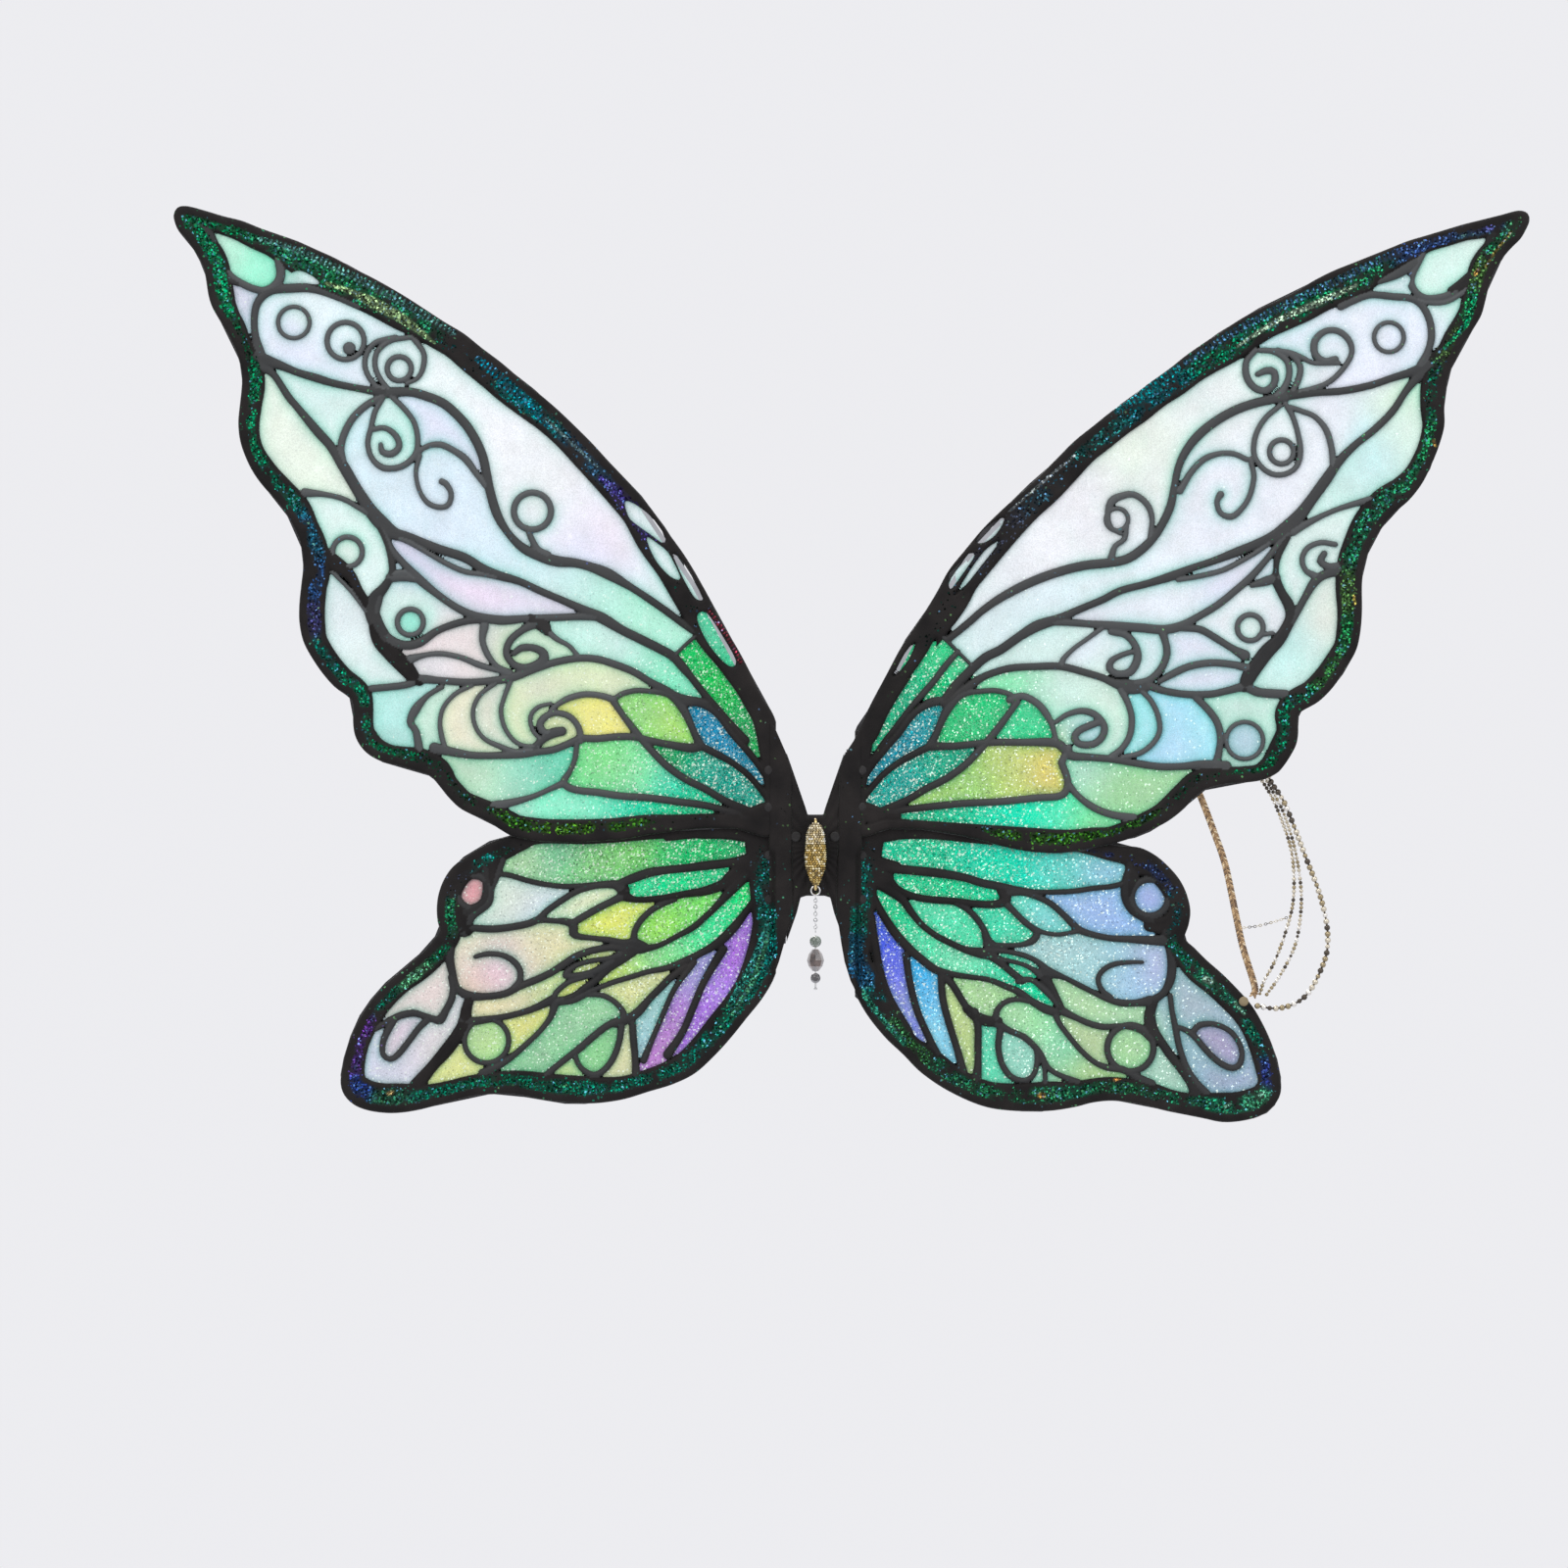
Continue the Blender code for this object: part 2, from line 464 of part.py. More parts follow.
def lathe(name, profile, centre, axis, mat, steps=20, closed=False, origin=(0.0, 0.0, 0.0)):
    """A profile of radius and height, turned about an axis through the centre.

    A closed profile makes a ring. An open one starts and ends at radius zero.
    """
    points, faces = [], []
    rows = []
    for radius, height in profile:
        if radius <= 0:
            rows.append([len(points)])
            points.append((0.0, 0.0, height))
            continue
        rows.append(list(range(len(points), len(points) + steps)))
        for k in range(steps):
            turn = 2 * math.pi * k / steps
            points.append((radius * math.cos(turn), radius * math.sin(turn), height))
    pairs = list(zip(rows, rows[1:] + rows[:1])) if closed else list(zip(rows, rows[1:]))
    for low, high in pairs:
        for k in range(steps):
            m = (k + 1) % steps
            quad = [low[k % len(low)], low[m % len(low)], high[m % len(high)], high[k % len(high)]]
            faces.append(tuple(dict.fromkeys(quad)))
    pts = np.array(points)
    if axis == "y":
        pts = pts[:, [1, 2, 0]]
    elif axis == "x":
        pts = pts[:, [2, 0, 1]]
    obj = add_mesh(name, pts + np.array(centre, float), faces, mat, True, origin)
    tidy_normals(obj)
    return obj


def tidy_normals(obj):
    work = bmesh.new()
    work.from_mesh(obj.data)
    bmesh.ops.recalc_face_normals(work, faces=work.faces)
    work.to_mesh(obj.data)
    work.free()


def tube(name, path, radius, mat, sides=10, origin=(0.0, 0.0, 0.0), closed=False):
    """A round bar along a run of points."""
    pts = np.array(path, float)
    n = len(pts)
    ahead = np.roll(pts, -1, axis=0) - np.roll(pts, 1, axis=0)
    if not closed:
        ahead[0], ahead[-1] = pts[1] - pts[0], pts[-1] - pts[-2]
    points, faces = [], []
    up = None
    for p, d in zip(pts, ahead):
        d = d / np.linalg.norm(d)
        if up is None:
            seed = np.array((0, 0, 1.0)) if abs(d[2]) < 0.9 else np.array((1.0, 0, 0))
            up = np.cross(seed, d)
        up = up - d * (up @ d)
        up /= np.linalg.norm(up)
        side = np.cross(d, up)
        for k in range(sides):
            turn = 2 * math.pi * k / sides
            points.append(p + radius * (math.cos(turn) * up + math.sin(turn) * side))
    for i in range(n if closed else n - 1):
        j = (i + 1) % n
        for k in range(sides):
            m = (k + 1) % sides
            faces.append((i * sides + k, i * sides + m, j * sides + m, j * sides + k))
    if not closed:
        faces.append(tuple(range(sides))[::-1])
        faces.append(tuple(range((n - 1) * sides, n * sides)))
    obj = add_mesh(name, points, faces, mat, True, origin)
    tidy_normals(obj)
    return obj


def box_loop(x0, x1, z0, z1, radius=0.0, steps=4):
    """A rectangle with round corners, counter-clockwise."""
    if radius <= 0:
        return [(x0, z0), (x1, z0), (x1, z1), (x0, z1)]
    corners = ((x1 - radius, z0 + radius, -90), (x1 - radius, z1 - radius, 0),
               (x0 + radius, z1 - radius, 90), (x0 + radius, z0 + radius, 180))
    out = []
    for cx, cz, start in corners:
        for k in range(steps + 1):
            turn = math.radians(start + 90 * k / steps)
            out.append((cx + radius * math.cos(turn), cz + radius * math.sin(turn)))
    return out


def circle_loop(x, z, radius, steps=12):
    turns = [2 * math.pi * k / steps for k in range(steps)]
    return [(x + radius * math.cos(t), z + radius * math.sin(t)) for t in turns]


def mirrored(loop):
    return [(-x, z) for x, z in loop][::-1]


def helper(obj):
    obj.hide_render = True
    obj.display_type = "WIRE"
    return obj


def combine(obj, other, operation):
    mod = obj.modifiers.new(other.name, "BOOLEAN")
    mod.operation = operation
    mod.solver = "EXACT"
    mod.object = helper(other)
    return obj


# ---- the wings ----


def wing_fields(outline, veins, windows, rivets):
    """The four flat shapes of one wing, and the holes for its rivets."""
    side = 1 if outline[5][0] > 0 else -1
    rim = smooth_run(outline, 3.0, True)
    grid = Grid(rim)
    inside = grid.inside(rim)
    root = side * grid.x - ROOT_X
    whole = np.minimum(inside, root)
    band = rim.copy()
    band[:, 2] *= 2
    lines = grid.stroke(band, closed=True)
    for vein in veins:
        lines = np.maximum(lines, grid.stroke(smooth_run(vein, 3.0, False), reach=8.0))
    holes = np.full(grid.x.shape, -50.0)
    for window in windows:
        holes = np.maximum(holes, grid.inside(smooth_run(window, 2.0, True)))
    lines = np.maximum(lines, SOLID_ROOT_X - side * grid.x)
    frame = np.minimum(np.minimum(whole, lines), -holes)
    film = np.minimum(inside - FILM_IN, side * grid.x - FILM_ROOT_X)
    wire = np.minimum(inside - WIRE_IN, WIRE_IN + WIRE_W - inside)
    wire = np.minimum(wire, side * grid.x - WIRE_ROOT_X)
    backing = np.minimum(whole, np.maximum(BACKING_W - inside, SOLID_ROOT_X + 6 - side * grid.x))
    backing = np.minimum(backing, -holes)
    rivet_holes = [circle_loop(side * x, z, RIVET_HOLE_R) for x, z in rivets]
    return grid, frame, film, wire, backing, rivet_holes


def wing(name, outline, veins, windows, rivets, front_y, mats):
    grid, frame, film, wire, backing, holes = wing_fields(outline, veins, windows, rivets)
    y = front_y
    loops = grid.loops(frame, 0.6, 12.0) + holes
    prism(name + "_vein_frame", loops, y, y + FRAME_T, mats["frame"])
    y += FRAME_T + GAP
    prism(name + "_film", grid.loops(film, 0.7, 12.0), y, y + FILM_T, mats["film"])
    # The wire can be cut in two by the root: the longest run is the one kept.
    runs = grid.loops(wire, 0.6, 12.0)
    runs.sort(key=lambda loop: -abs(area_of(loop)))
    prism(name + "_edge_wire", runs[:1], y, y + WIRE_T, mats["steel"])
    y += WIRE_T + GAP
    loops = grid.loops(backing, 0.7, 12.0) + holes
    prism(name + "_backing", loops, y, y + BACKING_T, mats["backing"])


# ---- the hinged root ----


def barrel(name, side, low, high, mat):
    span = [(0, low), (BARREL_R, low), (BARREL_R, high), (0, high)]
    return lathe(name, span, (side * HINGE_X, HINGE_Y, 0), "z", mat, 12)


def thorax_plate(mat):
    """The fixed heart plate that the four wings meet at, with its hinge barrels."""
    half = [(4.2, 10.0), (5.4, 14.0), (10.2, 28.0), (15.6, 43.5), (15.6, -59.0), (10.0, -43.0),
            (8.0, -35.0), (5.0, -34.0)]
    half = half[::-1]
    loop = half + [(-x, z) for x, z in half[::-1]]
    holes = [circle_loop(x, z, 1.8) for x, z in SCREWS]
    holes += [circle_loop(0, z, 1.1) for z in (STAPLE_TOP, STAPLE_LOW)]
    plate = prism("thorax_plate", [loop] + holes, -3.0, 0.0, mat)
    for side in (-1, 1):
        for k in (0, 2, 4, 6):
            low, high = KNUCKLES[k] + 0.25, KNUCKLES[k + 1] - 0.25
            x0, x1 = sorted((side * 14.5, side * HINGE_X))
            high_web = min(high, 43.0)
            web = prism(f"web_{side}_{k}", [box_loop(x0, x1, low + 0.01, high_web)], -2.9, -0.6, mat)
            combine(plate, web, "UNION")
            combine(plate, barrel(f"barrel_{side}_{k}", side, low, high, mat), "UNION")
        combine(plate, hinge_bore(side, "fixed", mat), "DIFFERENCE")
    return plate


def hinge_bore(side, which, mat):
    span = [(0, -70), (BORE_R, -70), (BORE_R, 60), (0, 60)]
    return lathe(f"bore_{which}_{side}", span, (side * HINGE_X, HINGE_Y, 0), "z", mat, 10)


def wing_leaf(side, mat):
    """The plate behind one pair of wings, with its own hinge barrels. It turns on the pin."""
    name = "left_wing_leaf" if side < 0 else "right_wing_leaf"
    shape = box_loop(19.5, 46.0, -43.0, 42.0, 3.0)
    holes = [circle_loop(x, z, RIVET_HOLE_R) for x, z in FORE_RIVETS + HIND_RIVETS]
    if side < 0:
        shape, holes = mirrored(shape), [mirrored(h) for h in holes]
    at = (side * HINGE_X, HINGE_Y, 0.0)
    leaf = prism(name, [shape] + holes, LEAF_Y0, LEAF_Y1, mat, origin=at)
    for k in (1, 3, 5):
        low, high = KNUCKLES[k] + 0.25, KNUCKLES[k + 1] - 0.25
        x0, x1 = sorted((side * 19.6, side * 20.9))
        web = prism(f"leaf_web_{side}_{k}", [box_loop(x0, x1, low + 0.01, high - 0.01)],
                    -0.6, LEAF_Y1 - 0.1, mat)
        combine(leaf, web, "UNION")
        combine(leaf, barrel(f"leaf_barrel_{side}_{k}", side, low, high, mat), "UNION")
    combine(leaf, hinge_bore(side, "leaf", mat), "DIFFERENCE")
    return leaf


def hinge_pin(side, mat):
    name = "left_hinge_pin" if side < 0 else "right_hinge_pin"
    low, high = KNUCKLES[0] - 0.6, KNUCKLES[-1] + 0.3
    span = [(0, low), (PIN_R, low), (PIN_R, high), (1.8, high), (1.8, high + 1.0), (0, high + 1.0)]
    return lathe(name, span, (side * HINGE_X, HINGE_Y, 0), "z", mat, 12)


def rivet(name, x, z, head_y, mat):
    """A rivet along y: domed head in front, shank, and the set end behind the leaf."""
    tail = LEAF_Y1 + GAP
    span = [(0, head_y - 0.8), (1.6, head_y - 0.6), (2.6, head_y), (RIVET_R, head_y),
            (RIVET_R, tail), (2.4, tail), (2.0, tail + 0.8), (0, tail + 0.8)]
    return lathe(name, span, (x, 0, z), "y", mat, 10)


def screw(name, x, z, mat):
    span = [(0, -4.4), (2.2, -4.4), (2.8, -3.9), (2.8, -3.3), (1.5, -3.3), (1.5, 13.0), (0, 13.0)]
    return lathe(name, span, (x, 0, z), "y", mat, 12)


def core_block(mat):
    holes = [circle_loop(x, z, 1.8) for x, z in SCREWS]
    loop = box_loop(-14.2, 14.2, -7.0, 4.0, 1.5)
    return prism("core_block", [loop] + holes, GAP, PLATE_Y0 - GAP, mat)


def h_loop(outer_x, inner_x, high, low, bridge_high, bridge_low, radius):
    """An H, as two upright bars and a bridge, with round outer corners."""
    r = radius
    right = [(inner_x, bridge_low), (inner_x, low + r), (inner_x + r, low), (outer_x - r, low),
             (outer_x, low + r), (outer_x, high - r), (outer_x - r, high), (inner_x + r, high),
             (inner_x, high - r), (inner_x, bridge_high)]
    return right + [(-x, z) for x, z in right[::-1]]


def harness_plate(mat):
    """The stiff H plate behind the root. The straps thread through its four slots."""
    loops = [h_loop(50.0, 23.0, 57.0, -58.0, 5.5, -8.5, 3.0)]
    loops += [circle_loop(x, z, 1.8) for x, z in SCREWS]
    for low, high in ((-STRAP_Z - 1.1, -STRAP_Z + 1.9), (STRAP_Z - 1.9, STRAP_Z + 1.1)):
        slot = box_loop(STRAP_X0 - 0.4, STRAP_X1 + 0.4, low, high)
        loops += [slot, mirrored(slot)]
    return prism("harness_plate", loops, PLATE_Y0, PLATE_Y1, mat)


def back_pad(mat):
    loop = h_loop(48.0, 24.5, 44.0, -44.0, 5.0, -8.0, 3.0)
    return prism("back_pad", [loop], PLATE_Y1 + GAP, PAD_BACK_Y, mat)


def strap_loop(offset):
    """The strap's centre line in y, z, moved outwards by the offset."""
    out = []
    front, rear, half = STRAP_Y - offset, STRAP_REAR_Y, STRAP_Z + offset
    for k in range(17):
        turn = math.radians(-90 + 180 * k / 16)
        out.append((rear + half * math.cos(turn), half * math.sin(turn)))
    bend = 2.5 + offset
    for start, cz in ((90, half - bend), (180, -half + bend)):
        for k in range(4):
            turn = math.radians(start + 90 * k / 3)
            out.append((front + bend + bend * math.cos(turn), cz + bend * math.sin(turn)))
    return out


def strap(side, mat):
    name = "left_strap" if side < 0 else "right_strap"
    x0, x1 = sorted((side * STRAP_X0, side * STRAP_X1))
    return prism(name, [strap_loop(STRAP_T / 2), strap_loop(-STRAP_T / 2)], x0, x1, mat, axis="x")


def slider(side, mat):
    """The strap's adjuster, a flat frame that slides along the strap's upper run."""
    name = "left_strap_slider" if side < 0 else "right_strap_slider"
    outer = box_loop(STRAP_X0 - 1.8, STRAP_X1 + 1.8, STRAP_Z - 2.7, STRAP_Z + 2.7, 1.0, 3)
    inner = box_loop(STRAP_X0 - 0.35, STRAP_X1 + 0.35, STRAP_Z - 1.1, STRAP_Z + 1.1)
    if side < 0:
        outer, inner = mirrored(outer), mirrored(inner)
    at = (side * (STRAP_X0 + STRAP_X1) / 2, SLIDER_Y, STRAP_Z)
    return prism(name, [outer, inner], SLIDER_Y - SLIDER_L / 2, SLIDER_Y + SLIDER_L / 2, mat,
                 origin=at)


# ---- the bead cluster and its dangle ----


def bead(name, radius, high, low, y, mat, bore, steps=14, power=0.5, origin=(0.0, 0.0, 0.0)):
    """A bored bead on an upright rod. The power sets how full its sides are."""
    middle, half = (high + low) / 2, (high - low) / 2
    profile = []
    for k in range(9):
        t = -1 + 2 * k / 8
        r = max(bore + 0.5, radius * (1 - abs(t) ** (1 / power)) ** power)
        profile.append((r, middle + half * t))
    profile += [(bore, high), (bore, low)]
    return lathe(name, profile, (0, y, 0), "z", mat, steps, closed=True, origin=origin)


def staple(mat):
    """The wire that carries the gold beads, its two ends let into the thorax plate."""
    bend = 1.5
    path = [(0, -0.4, STAPLE_TOP), (0, -5, STAPLE_TOP)]
    for k in range(5):
        turn = math.radians(90 * k / 4)
        path.append((0, BEAD_Y + bend - bend * math.sin(turn),
                     STAPLE_TOP - bend + bend * math.cos(turn)))
    for k in range(5):
        turn = math.radians(90 * k / 4)
        path.append((0, BEAD_Y + bend - bend * math.cos(turn),
                     STAPLE_LOW + bend - bend * math.sin(turn)))
    path += [(0, -5, STAPLE_LOW), (0, -0.4, STAPLE_LOW)]
    return tube("bead_staple", path, STAPLE_R, mat, 8)


def dangle(mats):
    pivot = (0.0, DANGLE_Y, STAPLE_LOW)
    ring_z = STAPLE_LOW - 0.8
    turns = [2 * math.pi * k / 16 for k in range(16)]
    ring = [(2.4 * math.sin(t), DANGLE_Y, ring_z + 2.4 * math.cos(t)) for t in turns]
    tube("dangle_ring", ring, 0.5, mats["silver"], 6, pivot, closed=True)
    low = ring_z - 2.9 - GAP
    tube("dangle_chain", [(0, DANGLE_Y, low), (0, DANGLE_Y, -54.6)], 0.8, mats["silver"], 10)
    bead("dangle_oval_bead", 3.3, -55.4, -61.6, DANGLE_Y, mats["grey_glass"], 0.9, 12)
    bead("dangle_crystal", 4.6, -62.4, -74.6, DANGLE_Y, mats["smoky_glass"], 0.9, 8, 0.7)
    bead("dangle_drop_bead", 2.8, -75.4, -81.0, DANGLE_Y, mats["dark_glass"], 0.9, 12)
    span = [(0, -84.6), (1.0, -84.3), (1.0, -83.6), (0.5, -83.2), (0.5, -55.0), (0, -55.0)]
    lathe("dangle_headpin", span, (0, DANGLE_Y, 0), "z", mats["silver"], 12)


# ---- the chain swags at the right wing ----

SWAGS = {
    "swag_braid": (4.4, ((205, 27, 3.7), (209, 18.6, 3.7), (216, 0, 3.4), (222, -18, 2.6),
                         (228, -47, 1.2), (231.5, -63, 0.2), (237.5, -83, -1.0), (236.5, -88, -1.4))),
    "swag_outer_beads": (3.0, ((244, 34, 3.0), (247, 27, 3.0), (253.3, 17.5, 3.0),
                               (259.7, 2.1, 3.0), (265.5, -13.3, 3.0), (272.4, -31.3, 3.0),
                               (276.7, -48.8, 3.0), (277.2, -62, 3.0), (274.5, -72, 2.8),
                               (267.7, -85.3, 2.2), (259.7, -92.2, 1.4), (249.1, -94.9, 0.4),
                               (239, -93.5, -0.6))),
    "swag_inner_beads": (2.0, ((241, 30, 7.0), (246, 22, 7.0), (250.2, 13.3, 6.8), (257, -5.8, 6.2),
                               (259.2, -21.2, 5.6), (258.6, -38.7, 5.0), (254.4, -54.6, 4.4),
                               (248.5, -70, 3.8), (243, -80, 3.4), (240.6, -87, 2.6))),
    "swag_middle_beads": (2.0, ((244, 30, 10.0), (249, 21, 10.0), (254.4, 10, 9.8),
                                (260.2, -9, 9.2), (263.4, -30.2, 8.6), (262.9, -46.6, 8.0),
                                (259.7, -62, 7.2), (252, -77, 6.2), (244.5, -87.5, 5.0))),
    "swag_cross_chain": (1.4, ((231.9, -51.2, 1.2), (239, -50.4, 1.8), (248.6, -48.0, 3.0),
                               (255.0, -46.0, 4.6))),
}


def swag(name, diameter, points, mat):
    """A hanging chain as one round cord, through a few points of x, z, y."""
    run = smooth_run(points, 1.0, False)
    gone = np.concatenate([[0], np.cumsum(np.linalg.norm(np.diff(run, axis=0), axis=1))])
    count = max(4, int(round(gone[-1] / (3 * diameter)))) + 1
    at = np.linspace(0, gone[-1], count)
    x, z, y = (np.interp(at, gone, run[:, k]) for k in range(3))
    curve = bpy.data.curves.new(name, "CURVE")
    curve.dimensions = "3D"
    spline = curve.splines.new("POLY")
    spline.points.add(count - 1)
    for point, place in zip(spline.points, to_part(np.column_stack([x, y, z]))):
        point.co = (*place, 1.0)
    curve.bevel_depth = diameter / 2 * MM
    curve.bevel_resolution = 2
    curve.use_fill_caps = True
    obj = bpy.data.objects.new(name, curve)
    bpy.context.collection.objects.link(obj)
    curve.materials.append(mat)
    return obj


def stud(name, x, z, low, high, radius, mat):
    span = [(0, low), (radius, low), (radius, high), (0, high)]
    return lathe(name, span, (x, 0, z), "y", mat, 16)


def main():
    clear_scene()
    mats = {
        "frame": material("black_flock_frame", BLACK, 0.75),
        "film": material("pearl_film", (0.78, 0.86, 0.82, 1.0), 0.22),
        "steel": material("spring_steel_wire", (0.55, 0.56, 0.58, 1.0), 0.3, 1.0),
        "backing": material("black_backing", (0.05, 0.045, 0.05, 1.0), 0.6),
        "leaf": material("black_painted_leaf", (0.04, 0.04, 0.042, 1.0), 0.45, 0.6),
    }
    wing("left_fore", FORE_LEFT, FORE_LEFT_VEINS, FORE_LEFT_WINDOWS, FORE_RIVETS, FORE_Y, mats)
    wing("right_fore", FORE_RIGHT, FORE_RIGHT_VEINS, FORE_RIGHT_WINDOWS, FORE_RIVETS, FORE_Y, mats)
    both = FORE_RIVETS + HIND_RIVETS
    wing("left_hind", HIND_LEFT, HIND_LEFT_VEINS, (), both, HIND_Y, mats)
    wing("right_hind", HIND_RIGHT, HIND_RIGHT_VEINS, (), both, HIND_Y, mats)

    thorax_plate(material("black_thorax", (0.03, 0.028, 0.03, 1.0), 0.6))
    black_rivet = material("black_rivet", (0.06, 0.06, 0.065, 1.0), 0.35, 0.8)
    for side, word in ((-1, "left"), (1, "right")):
        wing_leaf(side, mats["leaf"])
        hinge_pin(side, material(word + "_pin_steel", (0.6, 0.6, 0.62, 1.0), 0.25, 1.0))
        for k, (x, z) in enumerate(FORE_RIVETS):
            rivet(f"{word}_fore_rivet_{k + 1}", side * x, z, FORE_Y - GAP, black_rivet)
        for k, (x, z) in enumerate(HIND_RIVETS):
            rivet(f"{word}_hind_rivet_{k + 1}", side * x, z, HIND_Y - GAP, black_rivet)
        strap(side, material(word + "_elastic", (0.05, 0.05, 0.055, 1.0), 0.8))
        slider(side, material(word + "_slider_plastic", (0.04, 0.04, 0.04, 1.0), 0.35))
    core_block(material("core_plastic", (0.06, 0.06, 0.065, 1.0), 0.5))
    harness_plate(material("harness_plastic", (0.05, 0.05, 0.055, 1.0), 0.45))
    back_pad(material("pad_felt", (0.09, 0.085, 0.09, 1.0), 0.95))
    for k, (x, z) in enumerate(SCREWS):
        screw(f"root_screw_{k + 1}", x, z, black_rivet)

    staple(material("gold_wire", (0.72, 0.55, 0.28, 1.0), 0.3, 1.0))
    champagne = material("champagne_bead", (0.86, 0.78, 0.6, 1.0), 0.25, 0.8)
    gold = material("gold_bead", (0.75, 0.58, 0.27, 1.0), 0.28, 1.0)
    old_gold = material("old_gold_bead", (0.52, 0.39, 0.17, 1.0), 0.32, 1.0)
    bead("cluster_top_bead", 5.6, 5.6, -6.0, BEAD_Y, champagne, 1.1)
    bead("cluster_middle_bead", 6.9, -6.4, -18.2, BEAD_Y, gold, 1.1)
    bead("cluster_lower_bead", 5.5, -18.6, -28.0, BEAD_Y, old_gold, 1.1)
    dangle({
        "silver": material("silver_chain", (0.7, 0.7, 0.7, 1.0), 0.25, 1.0),
        "grey_glass": material("grey_green_glass", (0.45, 0.5, 0.45, 1.0), 0.1),
        "smoky_glass": material("smoky_crystal", (0.28, 0.22, 0.17, 1.0), 0.08),
        "dark_glass": material("dark_glass_bead", (0.09, 0.08, 0.08, 1.0), 0.12),
    })

    braid = material("gold_braid", (0.6, 0.45, 0.24, 1.0), 0.5, 0.4)
    chain = material("brass_chain", (0.62, 0.5, 0.3, 1.0), 0.3, 1.0)
    for name, (diameter, points) in SWAGS.items():
        swag(name, diameter, points, braid if name == "swag_braid" else chain)
    stud("swag_top_stud_1", 205.0, 32.5, 1.1, 3.0, 2.5, chain)
    stud("swag_top_stud_2", 243.0, 39.0, 1.1, 3.0, 2.5, chain)
    stud("swag_gather_stud", 231.5, -91.0, -1.6, 0.8, 2.6, chain)


main()
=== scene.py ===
"""Looks for the fairy wings: veined frames, pearly films, glitter, beads, chains and the harness."""

import math

import bpy
import numpy as np
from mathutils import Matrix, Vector


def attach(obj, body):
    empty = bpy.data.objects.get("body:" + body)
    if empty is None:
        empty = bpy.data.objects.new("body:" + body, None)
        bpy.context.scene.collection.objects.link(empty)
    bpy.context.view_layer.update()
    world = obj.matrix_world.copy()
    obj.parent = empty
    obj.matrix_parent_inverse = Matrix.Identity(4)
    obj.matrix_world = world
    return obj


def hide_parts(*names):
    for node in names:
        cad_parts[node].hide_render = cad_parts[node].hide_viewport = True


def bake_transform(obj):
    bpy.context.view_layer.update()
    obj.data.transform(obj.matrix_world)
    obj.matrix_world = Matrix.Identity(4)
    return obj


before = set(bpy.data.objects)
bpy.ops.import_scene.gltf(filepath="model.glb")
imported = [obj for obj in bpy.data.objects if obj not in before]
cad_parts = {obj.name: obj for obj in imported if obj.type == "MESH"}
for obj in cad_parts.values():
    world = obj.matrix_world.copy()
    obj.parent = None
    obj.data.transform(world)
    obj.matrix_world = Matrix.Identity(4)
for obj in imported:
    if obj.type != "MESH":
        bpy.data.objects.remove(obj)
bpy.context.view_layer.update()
MM = 0.001
# Everything below is in millimetres. y runs to the rear from the design plane.
BACK = 17.7  # the pad's rear face, where the frame has y = 0
STEP = 0.7  # between the points of a frame's surface
FILM_STEP = 1.3
RUN_STEP = 2.5  # between the points of a smoothed outline or vein
ROOT_X = 21.3  # the frames' inner ends
ROOT_SOLID_X = 27.5  # no opening lies nearer the middle
FILM_ROOT_X = 23.0  # the films' inner ends
FILM_INSET = 3.4  # from the frame's outer edge to the film's
FORE_BASE, HIND_BASE = -1.32, 2.78  # y where the veins stand on the film
FILM_T = 0.4  # the film's thickness
VEIN_HEIGHT = 2.0  # above the film
VEIN_ROUND = 2.1  # how far in from a vein's edge its top is rounded
RIM_REACH = 26.0  # over the widest rim
GRID_MARGIN = 3.37  # how far a grid goes past its outline
PIGMENT_DEPTH = 1.95  # the power that takes a pane's seen colour to its pigment
MINT_SHADE = np.array([0.44, 0.07, 0.20])  # painted shade beside the veins: what it takes from red, green and blue, which leaves a mint tint
HINGE_X = 18.5  # from the middle to each hinge's axis
KNUCKLES = (-60, -45, -30, -15, 0, 15, 30, 44)  # z where each barrel starts or ends
CLUSTER_Y = -10.5  # the spindle's axis
CLUSTER_SEED = 0.82  # radius of the seed beads
DANGLE_Y = -8.2

